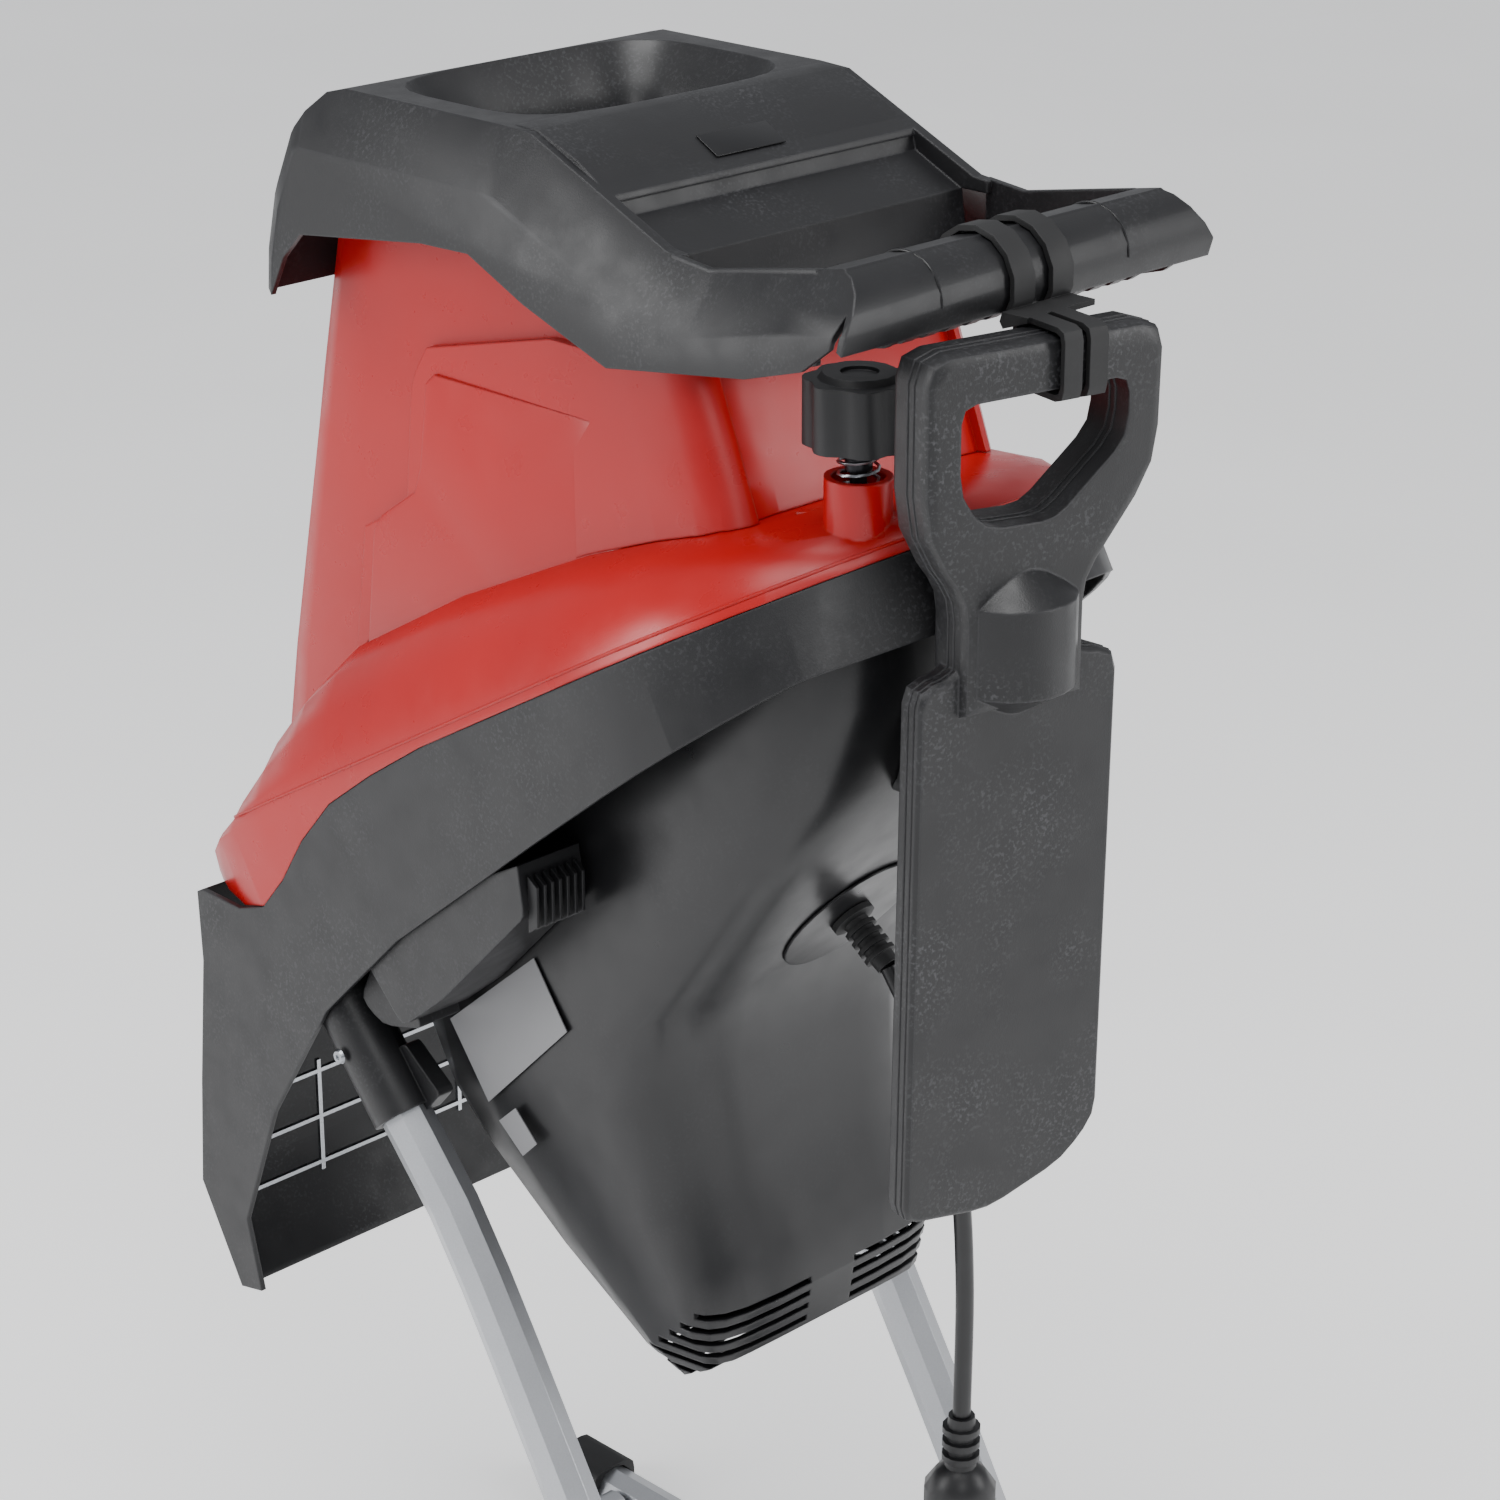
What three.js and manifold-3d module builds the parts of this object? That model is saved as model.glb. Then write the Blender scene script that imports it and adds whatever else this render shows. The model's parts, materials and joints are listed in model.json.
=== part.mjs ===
// Electric knife garden shredder, built as its separate pieces.
// Millimetres, +Z up. -Y is the discharge side, +Y the handle side, +X the cable-side flank.

import * as THREE from 'three';
import { mergeVertices } from 'three/addons/utils/BufferGeometryUtils.js';
import Module from 'manifold-3d';

const wasm = await Module();
wasm.setup();

// ---------------------------------------------------------------- driving dimensions

const WALL = 3;                        // moulded shell thickness
const GAP = 0.4;                       // clearance between pieces that touch
const FRAME_SHIFT_Y = -13.4;             // brings the middle of the outline onto Y = 0

// The cutting deck leans back: its own axes are X, u (up the slope) and h (out of the slope).
const TILT = THREE.MathUtils.degToRad(30);
const DECK_POINT = new THREE.Vector3(0, -20, 640);

const BODY_HALF = 150;                 // half width of cover and base
const BODY_REAR = { centre: 110, depth: 162 };   // u where the rounded rear end begins, its length
const LIP = 15;                        // h of the seam between cover and base
const DECK_TOP = -14;                  // h of the deck's upper face
const DECK_FRONT = -168;               // u where the deck stops and the chute begins

const HOPPER_HALF = 124;               // half width of the hopper across its skirt
const SHOULDER = { across: 18, down: 28 };   // sloping band along the hopper's upper edge
const BAR = { y: 202, z: 902, r: 22, bore: 18.6 };   // handle bar, a half tube across the back
const BAR_HALF = 104;                  // half length of the bar between the rails
const PANEL_HALF = 100;                // half width of the stepped rear panel

const THROAT = { y: -60, round: 35, slotHalf: 66, slotDepth: 13, wall: 2.6 };

const LOCK = { x: 58, y: 170, bossR: 16, bossTop: 813, knobR: 26, knobFrom: 828, knobTo: 862 };

const LEG = { x: 129, r: 14, bore: 11.8 };
const WHEEL = { y: 168, r: 75, axleR: 6, half: 17, x: 166 };

const DISC = { u: -104, r: 98, h: -4, thick: 4 };
const MOTOR = { u: -70, top: -150, r: 36 };
const GEARS = { pinionR: 8.5, wheelR: 25.5, h: -48, thick: 9 };   // pitch radii, ratio 3 to 1

const HINGE = { y: -239, z: 497, r: 6.5, pin: 3 };

const PUSHER = { y: 252, turn: THREE.MathUtils.degToRad(-12), offset: 38 };

// ---------------------------------------------------------------- materials

const finish = (color, roughness, metalness = 0) =>
  new THREE.MeshStandardMaterial({ color, roughness, metalness });
const RED = finish('#c01818', 0.36);
const BLACK = finish('#232325', 0.5);
const BLACK_MATT = finish('#1c1c1e', 0.72);
const TUBE_SILVER = finish('#b4b4b8', 0.32, 0.7);
const STEEL = finish('#9b9da1', 0.3, 1);
const TOOL_STEEL = finish('#74767a', 0.36, 1);
const RUBBER = finish('#151516', 0.85);
const LABEL_GREY = finish('#8c8c8e', 0.55);
const COPPER = finish('#b06a3a', 0.4, 1);
const BRASS = finish('#b9944a', 0.38, 1);
const GREEN = finish('#2f7d3a', 0.45);
const STOP_RED = finish('#a81616', 0.42);

// ---------------------------------------------------------------- helpers

const { PI, cos, sin, sign, abs, min, sqrt } = Math;
const vec = (x, y, z) => new THREE.Vector3(x, y, z);
const range = (n) => Array.from({ length: n }, (_, i) => i);

// Shape axes to object axes: a side outline is (Y, Z), a front outline (X, Z), a plan (X, Y).
const VIEWS = {
  side: new THREE.Matrix4().makeBasis(vec(0, 1, 0), vec(0, 0, 1), vec(1, 0, 0)),
  front: new THREE.Matrix4().makeBasis(vec(1, 0, 0), vec(0, 0, 1), vec(0, -1, 0)),
  plan: new THREE.Matrix4(),
};

// The deck's own frame, (X, u, h) to object axes.
const DECK = new THREE.Matrix4()
  .makeBasis(vec(1, 0, 0), vec(0, cos(TILT), sin(TILT)), vec(0, -sin(TILT), cos(TILT)))
  .setPosition(DECK_POINT);

function toSolid(geometry) {
  const bare = geometry.clone();
  bare.deleteAttribute('normal');
  bare.deleteAttribute('uv');
  const merged = mergeVertices(bare, 1e-4);
  const mesh = new wasm.Mesh({
    numProp: 3,
    vertProperties: Float32Array.from(merged.attributes.position.array),
    triVerts: Uint32Array.from(merged.index.array),
  });
  return new wasm.Manifold(mesh);
}

function toGeometry(solid) {
  const mesh = solid.getMesh();
  const geometry = new THREE.BufferGeometry();
  geometry.setAttribute('position', new THREE.BufferAttribute(Float32Array.from(mesh.vertProperties), 3));
  geometry.setIndex(new THREE.BufferAttribute(Uint32Array.from(mesh.triVerts), 1));
  const flat = geometry.toNonIndexed();
  flat.computeVertexNormals();
  return flat;
}

const join = (...solids) => solids.reduce((a, b) => a.add(b));
const cut = (solid, ...tools) => tools.reduce((a, b) => a.subtract(b), solid);

// Closed outline with its corners rounded; a point's third value is its corner radius.
function rounded(points, radius = 0) {
  const count = points.length;
  const shape = new THREE.Shape();
  points.forEach(([x, y, own], i) => {
    const r = own ?? radius;
    const corner = new THREE.Vector2(x, y);
    if (!r) {
      if (i) shape.lineTo(x, y);
      else shape.moveTo(x, y);
      return;
    }
    const before = points[(i + count - 1) % count];
    const after = points[(i + 1) % count];
    const start = new THREE.Vector2(before[0], before[1]).sub(corner).setLength(r).add(corner);
    const end = new THREE.Vector2(after[0], after[1]).sub(corner).setLength(r).add(corner);
    if (i) shape.lineTo(start.x, start.y);
    else shape.moveTo(start.x, start.y);
    shape.quadraticCurveTo(x, y, end.x, end.y);
  });
  shape.closePath();
  return shape;
}

const box2 = (x0, y0, x1, y1, r = 0) => rounded([[x0, y0], [x1, y0], [x1, y1], [x0, y1]], r);

// bevel runs along the extrusion, inset is how far the outline shrinks over it.
function slab(view, outline, from, to, options = {}) {
  const { bevel = 0, inset = bevel, segments = 4, bevelSegments = 1 } = options;
  const shape = outline instanceof THREE.Shape ? outline : rounded(outline);
  const geometry = new THREE.ExtrudeGeometry(shape, {
    depth: to - from - 2 * bevel,
    curveSegments: segments,
    bevelEnabled: bevel > 0,
    bevelThickness: bevel,
    bevelSize: inset,
    bevelOffset: -inset,
    bevelSegments,
  });
  geometry.translate(0, 0, (view === 'front' ? -to : from) + bevel);
  return toSolid(geometry.applyMatrix4(VIEWS[view]));
}

const block = (x0, y0, z0, x1, y1, z1) => slab('plan', box2(x0, y0, x1, y1), z0, z1);

// A solid drawn through stations: the outline is repeated at each one and place() puts its
// points where they belong.
function loft(outline, stations, place) {
  const steps = stations.length - 1;
  const shape = new THREE.Shape(outline.map(([x, y]) => new THREE.Vector2(x, y)));
  const geometry = new THREE.ExtrudeGeometry(shape, { depth: steps, steps, bevelEnabled: false });
  const position = geometry.attributes.position;
  for (let i = 0; i < position.count; i += 1) {
    const station = stations[Math.round(position.getZ(i))];
    const point = place(station, position.getX(i), position.getY(i));
    position.setXYZ(i, point.x, point.y, point.z);
  }
  const solid = toSolid(geometry);
  return solid.volume() < 0 ? toSolid(flip(geometry)) : solid;
}

function flip(geometry) {
  const swapped = geometry.index ? geometry.toNonIndexed() : geometry.clone();
  const p = swapped.attributes.position;
  for (let i = 0; i < p.count; i += 3) {
    const [x, y, z] = [p.getX(i + 1), p.getY(i + 1), p.getZ(i + 1)];
    p.setXYZ(i + 1, p.getX(i + 2), p.getY(i + 2), p.getZ(i + 2));
    p.setXYZ(i + 2, x, y, z);
  }
  return swapped;
}

// Points of a rounded rectangle from -1 to 1, counter-clockwise.
function squircle(count, power = 5) {
  return range(count).map((i) => {
    const t = (2 * PI * (i + 0.5)) / count;
    return [cos(t), sin(t)].map((v) => sign(v) * abs(v) ** (2 / power));
  });
}

// A round solid on an axis; profile rows are [radius, position along the axis].
function turned(profile, { at = [0, 0, 0], axis = 'z', sides = 20 } = {}) {
  const geometry = new THREE.LatheGeometry(profile.map(([r, y]) => new THREE.Vector2(r, y)), sides);
  if (axis === 'z') geometry.rotateX(PI / 2);
  if (axis === 'x') geometry.rotateZ(-PI / 2);
  geometry.translate(...at);
  const solid = toSolid(geometry);
  return solid.volume() < 0 ? toSolid(flip(geometry)) : solid;
}

const rod = (r, from, to, options) => turned([[0, from], [r, from], [r, to], [0, to]], options);
const ring = (inner, outer, from, to, options) =>
  turned([[inner, from], [outer, from], [outer, to], [inner, to], [inner, from]], options);

// A round bar or pipe wall along a curve.
function sweep(curve, r, { sides = 12, steps = 20 } = {}) {
  const section = new THREE.Shape(range(sides).map((i) => {
    const t = (2 * PI * i) / sides;
    return new THREE.Vector2(r * cos(t), r * sin(t));
  }));
  const geometry = new THREE.ExtrudeGeometry(section, { steps, extrudePath: curve });
  const solid = toSolid(geometry);
  return solid.volume() < 0 ? toSolid(flip(geometry)) : solid;
}

const moved = (solid, x, y, z) => solid.translate([x, y, z]);
const mirrored = (solid) => solid.mirror([1, 0, 0]);

// Deck frame to object frame for a solid.
function onDeck(solid) {
  return solid.transform(DECK.toArray());
}

const deckPoint = (x, u, h) => vec(x, u, h).applyMatrix4(DECK);

const root = new THREE.Group();
root.name = 'wood_chipper';
root.position.set(0, FRAME_SHIFT_Y, 0);

function piece(name, solid, material, parent = root) {
  const geometry = solid.isBufferGeometry ? solid : toGeometry(solid);
  const mesh = new THREE.Mesh(geometry, material);
  mesh.name = name;
  parent.add(mesh);
  return mesh;
}

const pair = (name, solid, material) => {
  piece(`${name}_left`, mirrored(solid), material);
  piece(`${name}_right`, solid, material);
};

// ---------------------------------------------------------------- feed hopper

// Side outline of the hopper's outside, clockwise from the front flap's tip.
const HOPPER_TOP = [
  [-183, 845], [-181, 868], [-173, 900], [-159, 930], [-140, 949], [-128, 952],
  [-14, 952], [6, 951], [95, 912], [124, 909], [206, 924],
];
const HOPPER_SKIRT = [
  [220, 912], [214, 893], [197, 880], [163, 870], [74, 857], [18, 876], [-20, 893], [-54, 892],
  [-146, 880], [-160, 866], [-171, 845],
];
// The same outline carried on below and behind the skirt.
const HOPPER_DEEP = [
  [-199, 760], [-199, 845], [-197, 868], [-189, 900], [-172, 935], [-155, 952], ...HOPPER_TOP.slice(6, -1),
  [290, 939.4], [290, 760],
];

// The stepped rear panel between the rails, top side.
const PANEL_TOP = [[-10, 952], [5, 952], [31, 942], [54, 929], [57, 919], [87, 905], [90, 885], [103, 858]];

const hopperSkin = (inset) => moved(
  slab('side', HOPPER_DEEP, -HOPPER_HALF + inset, HOPPER_HALF - inset,
    { bevel: SHOULDER.across, inset: SHOULDER.down }),
  0, 0, -inset,
);

function funnel(inset) {
  const rim = { x: 90 - inset, from: -128 + inset, to: -6 - inset };
  const stations = [
    { z: 960, grow: 1.04 }, { z: 952, grow: 1 }, { z: 934, grow: 0.84 }, { z: 921, grow: 0.8 },
  ];
  const middle = (rim.from + rim.to) / 2;
  return loft(squircle(28, 4), stations, (s, x, y) =>
    vec(x * rim.x * s.grow, middle + y * ((rim.to - rim.from) / 2) * s.grow, s.z + inset));
}

function throatOutline(grow) {
  const { round: r, slotHalf, slotDepth } = THROAT;
  const hip = sqrt((r + grow) ** 2 - (slotDepth + grow) ** 2);
  const shape = new THREE.Shape();
  const turn = Math.atan2(slotDepth + grow, hip);
  shape.moveTo(hip, slotDepth + grow);
  shape.absarc(0, 0, r + grow, turn, PI - turn, false);
  shape.lineTo(-slotHalf - grow, slotDepth + grow);
  shape.lineTo(-slotHalf - grow, -slotDepth - grow);
  shape.lineTo(-hip, -slotDepth - grow);
  shape.absarc(0, 0, r + grow, PI + turn, 2 * PI - turn, false);
  shape.lineTo(slotHalf + grow, -slotDepth - grow);
  shape.lineTo(slotHalf + grow, slotDepth + grow);
  shape.closePath();
  return shape;
}

const throatSolid = (grow, from, to) =>
  moved(slab('plan', throatOutline(grow), from, to), 0, THROAT.y, 0);

function barArc(r, from, to, steps = 8) {
  return range(steps + 1).map((i) => {
    const t = from + ((to - from) * i) / steps;
    return [BAR.y + r * cos(t), BAR.z + r * sin(t)];
  });
}

function feedHopper() {
  const sides = slab('side', [...HOPPER_TOP, ...HOPPER_SKIRT], -HOPPER_HALF - 1, HOPPER_HALF + 1);
  const outer = hopperSkin(0).intersect(sides);
  const inner = hopperSkin(WALL).intersect(block(-150, -183 + WALL, 700, 150, 203, 1000));
  const handGap = block(-BAR_HALF, 103, 840, BAR_HALF, 201, 980);
  const panelUnder = PANEL_TOP.map(([y, z]) => [y - 1.5, z - WALL]).reverse();
  const panel = slab('side', [...PANEL_TOP, ...panelUnder], -PANEL_HALF - 1, PANEL_HALF + 1);
  const cheek = block(PANEL_HALF, 2, 905, PANEL_HALF + WALL, 104, 954);
  const well = slab('side', [[5, 953.5], [130, 980], [130, 840], [104, 858], [91, 885], [88, 905.5],
    [58, 920], [55, 930], [32, 943]], -PANEL_HALF, PANEL_HALF);
  const railWall = block(BAR_HALF - 0.1, 100, 862, BAR_HALF + WALL, 190, 930);
  const walls = join(cheek, mirrored(cheek), railWall, mirrored(railWall)).intersect(outer.hull());
  const bar = slab('side', [...barArc(BAR.r, -0.5, PI + 0.35, 10), ...barArc(BAR.bore, PI + 0.35, -0.5, 8)],
    -HOPPER_HALF, HOPPER_HALF).intersect(hopperSkin(0));
  const barRoom = rod(BAR.bore, -HOPPER_HALF, HOPPER_HALF, { at: [0, BAR.y, BAR.z], axis: 'x' })
    .intersect(hopperSkin(WALL));
  const bowlWall = funnel(-WALL).intersect(block(-110, -140, 905, 110, 3, 951));
  const shell = cut(outer, inner, handGap, well);
  const whole = join(shell, panel, walls.intersect(under(HOPPER_TOP)), bowlWall, bar);
  return cut(whole, funnel(0), barRoom, throatSolid(THROAT.wall + GAP, 880, 940));
}

// Everything below a side outline.
const under = (top) => slab('side', [[-400, 500], ...top, [400, 924], [400, 500]], -200, 200);

function feedThroat() {
  const tube = cut(throatSolid(THROAT.wall, 560, 922.5), throatSolid(0, 550, 940));
  const collar = cut(throatSolid(THROAT.wall + 6, 906, 909), throatSolid(0, 900, 912));
  const belowCut = onDeck(block(-150, -250, -140, 150, 200, DISC.h + DISC.thick + 9));
  return cut(join(tube, collar), belowCut);
}

// ---------------------------------------------------------------- tower and domed cover

// Half widths and heights of the dome over the deck, by u.
const DOME = [
  // u, half width, crown height h
  [-248, 126, -4], [-243, 133, 3], [-230, 140, 13], [-214, 145, 23], [-193, 149, 38], [-162, 150, 58],
  [-125, 150, 74], [-90, 150, 82], [0, 150, 82], [100, 150, 73], [150, 145.4, 65], [188, 131.5, 57],
  [220, 110, 46], [245, 83, 37], [260, 56.7, 29], [270, 27, 21],
];
const DOME_SECTION = [
  [-1, -1], [1, -1], [1, 0.08], [0.98, 0.28], [0.92, 0.55], [0.83, 0.79], [0.7, 0.94], [0.5, 1],
  [-0.5, 1], [-0.7, 0.94], [-0.83, 0.79], [-0.92, 0.55], [-0.98, 0.28], [-1, 0.08],
];

function domeSolid(inset) {
  return onDeck(loft(DOME_SECTION, DOME, ([u, half, crown], x, y) => {
    const foot = min(LIP * 0.8, crown - 5);
    const lift = y < 0 ? -60 : foot + (crown - foot - inset) * y;
    const pull = inset * (u < -225 ? 1.1 : 0) - inset * (u > 230 ? 0.9 : 0);
    return vec(x * (half - inset), u + pull, lift);
  }));
}

// Seam between cover and base: (u, h) along the flank, front to rear.
const SEAM = [
  [-330, -8], [-240, -8], [-212, -25], [-190, -29], [-164, -20], [-135, -5], [-100, 7], [-58, 12],
  [-10, LIP], [330, LIP],
];

const deckSide = (outline, half = 180) => onDeck(slab('side', outline, -half, half));

function coverRegion(gap) {
  return deckSide([...SEAM.map(([u, h]) => [u, h + gap]), [330, 420], [-330, 420]]);
}

const TOWER = [
  // z, half width, front y, back y
  [560, 93, -241, 133], [640, 93, -226, 133], [765, 93, -198, 133], [800, 93, -190, 119], [902, 92, -166, 78],
];

function towerSolid(inset) {
  return loft(squircle(20, 9), TOWER, ([z, half, front, back], x, y) => {
    const depth = (back - front) / 2 - inset;
    return vec(x * (half - inset), (front + back) / 2 + y * depth, z);
  });
}

function feedTower() {
  const flank = [[-150, 640], [-137, 726], [-103, 744], [-96, 812, 10], [-84, 830], [6, 852], [200, 852],
    [200, 600], [-150, 600]];
  const swell = towerSolid(-5).intersect(join(slab('side', rounded(flank), 78, 120),
    slab('side', rounded(flank), -120, -78)));
  const rim = cut(throatSolid(THROAT.wall + 8, 894, 902), throatSolid(THROAT.wall + GAP, 890, 904));
  const floor = cut(towerSolid(1).intersect(block(-100, -240, 896, 100, 160, 899)),
    throatSolid(THROAT.wall + GAP, 880, 910));
  const shell = cut(join(towerSolid(0), swell), towerSolid(WALL), domeSolid(-GAP));
  const seat = coverRegion(0);
  return join(shell.intersect(seat), floor, rim.intersect(block(-100, -240, 896, 100, 160, 902)));
}

function domeCover() {
  const shell = cut(domeSolid(0), domeSolid(WALL)).intersect(coverRegion(0));
  const boss = rod(LOCK.bossR, 771, LOCK.bossTop, { at: [LOCK.x, LOCK.y, 0] });
  const shaftHole = rod(5, 700, 860, { at: [LOCK.x, LOCK.y, 0], sides: 16 });
  const springHole = rod(12.6, 790, 860, { at: [LOCK.x, LOCK.y, 0] });
  const knuckles = join(hingeKnuckle(-84, -52), hingeKnuckle(52, 84));
  return cut(join(shell, boss, knuckles), towerSolid(WALL + 6), shaftHole, springHole, pinBore());
}

const pinBore = () => rod(HINGE.pin + GAP, -130, 130, { at: [0, HINGE.y, HINGE.z], axis: 'x', sides: 12 });

function knuckle(from, to, arm) {
  const barrel = rod(HINGE.r, from, to, { at: [0, HINGE.y, HINGE.z], axis: 'x', sides: 16 });
  return join(barrel, slab('side', arm, from, to));
}

const hingeKnuckle = (from, to) => knuckle(from, to,
  [[HINGE.y - 4, HINGE.z + 4], [HINGE.y + 5, HINGE.z + 3], [-229, 506], [-228.5, 519]]);
const baseKnuckle = (from, to) => knuckle(from, to,
  [[HINGE.y - 4, HINGE.z - 4], [-226, 464], [-225, 478], [HINGE.y + 5, HINGE.z - 1]]);

// ---------------------------------------------------------------- base shell with chute hood

const HOOD_FRONT = [[-228, 520], [-226, 470], [-234, 395], [-239, 331], [-208, 276], [-190, 280]];
const BAND_EDGE = [
  [-200, 321], [-170, 398], [-121, 475], [-61, 535], [48, 623], [135, 692], [183, 730], [276, 779],
];

// Plan of cover and base on the deck, with the rounded rear end.
function deckPlan(inset, front) {
  const r = BODY_HALF - inset;
  const shape = new THREE.Shape();
  shape.moveTo(-r, front);
  shape.lineTo(r, front);
  shape.lineTo(r, BODY_REAR.centre);
  shape.absellipse(0, BODY_REAR.centre, r, BODY_REAR.depth - inset, 0, PI, false, 0);
  shape.closePath();
  return shape;
}

const planSolid = (inset, from, to, front = -700) =>
  onDeck(slab('plan', deckPlan(inset, front), from, to, { segments: 10 }));

function baseShell() {
  const flank = slab('side', [...HOOD_FRONT, ...BAND_EDGE, [320, 800], [320, 900], [-228, 640]],
    -BODY_HALF, BODY_HALF);
  const outer = flank.intersect(planSolid(0, -500, 60));
  const core = slab('side', [[-225, 700], [-223, 470], [-231, 395], [-236, 332], [-206, 280], [-196, 240],
    [400, 240], [400, 900]], -BODY_HALF + WALL, BODY_HALF - WALL);
  const inner = core.intersect(planSolid(WALL, -520, 80));
  const under = cut(outer, inner).intersect(deckSide([...SEAM.map(([u, h]) => [u, h - GAP]), [330, -500],
    [-520, -500], [-520, -8 - GAP]]));
  const deck = planSolid(WALL - 0.2, DECK_TOP - WALL, DECK_TOP, DECK_FRONT)
    .intersect(join(deckSide([[-150, -40], [300, -40], [300, 0], [-150, 0]]), deckSide([[-200, -40],
      [-149, -40], [-149, 0], [-200, 0]], BODY_HALF - WALL - 3.4)));
  const hole = onDeck(rod(15.4, -60, 20, { at: [0, DISC.u, 0] }));
  const chamber = onDeck(ring(DISC.r + 5, DISC.r + 8, DECK_TOP - 1, 9, { at: [0, DISC.u, 0], sides: 32 }))
    .intersect(onDeck(block(-140, DECK_FRONT + 0.5, -40, 140, 60, 40)));
  const nutPost = rod(12, 748, 766, { at: [LOCK.x, LOCK.y, 0] });
  const nutWeb = deckSide([[200, DECK_TOP - 1], [262, DECK_TOP - 1], [262, 6], [200, 6]], 60)
    .intersect(block(LOCK.x - 12, LOCK.y - 40, 700, LOCK.x + 12, LOCK.y + 30, 764));
  const nutRoom = rod(7.3, 735, 790, { at: [LOCK.x, LOCK.y, 0], sides: 16 });
  const knuckles = join(baseKnuckle(-51, -20), baseKnuckle(20, 51));
  const ribs = range(3).map((i) => {
    const z = 425 - i * 34;
    const y = -230 - i * 3.6;
    return slab('side', [[y + 3, z + 14], [y - 7, z - 12], [y + 1, z - 14]], -120, 120);
  });
  const body = join(under, deck, chamber, nutPost, nutWeb, knuckles, ...ribs);
  return cut(body, hole, nutRoom, pinBore());
}

function hingePin() {
  return rod(HINGE.pin, -90, 90, { at: [0, HINGE.y, HINGE.z], axis: 'x', sides: 12 });
}

function chuteGuard() {
  const half = BODY_HALF - WALL - GAP;
  const bars = range(5).map((i) => block(-101.2 + i * 50, -196, 336, -98.8 + i * 50, -193.6, 404));
  const rows = range(3).map((i) => block(-half, -196, 340 + i * 28, half, -193.6, 342.4 + i * 28));
  return join(...bars, ...rows);
}

// ---------------------------------------------------------------- motor housing

const TUB = [
  // depth below the deck plane, half width, front u, rear u
  [17.5, 104, -166, 236], [45, 104, -176, 226], [80, 104, -188, 192], [113, 104, -192, 128],
  [153, 103, -186, 36], [190, 100, -174, 4], [250, 92, -148, -22], [285, 90, -126, -26],
  [312, 86, -112, -37], [333, 78, -98, -54],
];

function tubSolid(inset) {
  const last = TUB.length - 1;
  return onDeck(loft(squircle(20, 4.5), TUB, (row, x, y) => {
    const [depth, half, front, rear] = row;
    const span = (rear - front) / 2 - inset;
    const end = row === TUB[last] ? inset : inset * (row === TUB[0] ? 2 : 0);
    return vec(x * (half - inset), (front + rear) / 2 + y * span, -depth + end);
  }));
}

function motorHousing() {
  const shell = cut(tubSolid(0), tubSolid(WALL));
  const slots = range(7).flatMap((i) => [-1, 1].map((side) => {
    const z = 304 + i * 7.8;
    const inner = side * 16;
    const outer = side * 112;
    return block(min(inner, outer), 36 + i * 8.5, z, Math.max(inner, outer), 130, z + 3.6);
  }));
  const glandHole = onGland(rod(8.4, -30, 30, { sides: 16 }));
  return cut(shell, ...slots, glandHole);
}

// ---------------------------------------------------------------- legs, sockets, wheels

// Middle line of one side tube: down and back from its socket, then forward along the ground.
const LEG_POINTS = [
  [-128, 472], [-92, 430], [-47, 381], [40, 244], [102, 140], [140, 70], [143, 36], [120, 19], [84, 15.4],
  [-120, 15.4], [-222, 15.4],
];
const legCurve = (points, side = 1) =>
  new THREE.CatmullRomCurve3(points.map(([y, z]) => vec(side * LEG.x, y, z)), false, 'centripetal');

function legTube() {
  const past = [[-136, 481], ...LEG_POINTS.slice(1, -1), [-236, 15.4]];
  return cut(
    sweep(legCurve(LEG_POINTS), LEG.r, { sides: 8, steps: 22 }),
    sweep(legCurve(past), LEG.bore, { sides: 6, steps: 22 }),
  );
}

const legRoom = () => sweep(legCurve(LEG_POINTS), LEG.r + GAP, { sides: 8, steps: 22 });

function tubeSocket() {
  const axis = new THREE.LineCurve3(vec(LEG.x, -138, 484), vec(LEG.x, -84, 421));
  const boss = sweep(axis, 17.4, { sides: 20, steps: 1 });
  const ear = slab('side', rounded([[-88, 460, 4], [-60, 440, 4], [-74, 424, 4], [-104, 444, 4]]),
    LEG.x - 14, LEG.x - 4);
  const stop = new THREE.LineCurve3(vec(LEG.x, -131, 475.5), vec(LEG.x, -122, 465));
  return cut(join(boss, ear), legRoom(), sweep(stop, LEG.r + GAP, { sides: 8, steps: 1 }));
}

const socketScrew = () => rod(4, 17.9, 20.4, { axis: 'x', sides: 12, at: [LEG.x, -112, 452] });

function frontFootBar() {
  const half = LEG.x - LEG.r - GAP;
  return ring(9, 12, -half, half, { at: [0, -190, 15.4], axis: 'x', sides: 12 });
}

function footCap() {
  const cap = slab('front', box2(LEG.x - 17, 0, LEG.x + 17, 32, 9), -248, -208, { segments: 3 });
  return cut(cap, rod(LEG.r + 1.2, -222.4, -200, { axis: 'y', at: [LEG.x, 0, 15.4], sides: 12 }));
}

// One-piece wheel: hub, web with round windows, and a broad tread.
function wheel() {
  const { half, r, axleR } = WHEEL;
  const profile = [
    [axleR + GAP, -half - 4], [15, -half - 4], [15, -5], [r - 14, -5], [r - 13, -half + 1], [r - 4, -half],
    [r, -half + 5], [r, half - 5], [r - 4, half], [r - 13, half - 1], [r - 14, 5], [15, 5], [15, half + 4],
    [axleR + GAP, half + 4], [axleR + GAP, -half - 4],
  ];
  const windows = range(5).map((i) => {
    const t = (2 * PI * i) / 5;
    return rod(11, -20, 20, { axis: 'x', sides: 8, at: [0, 38 * cos(t), 38 * sin(t)] });
  });
  return moved(cut(turned(profile, { axis: 'x' }), ...windows), WHEEL.x, WHEEL.y, WHEEL.r);
}

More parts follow.
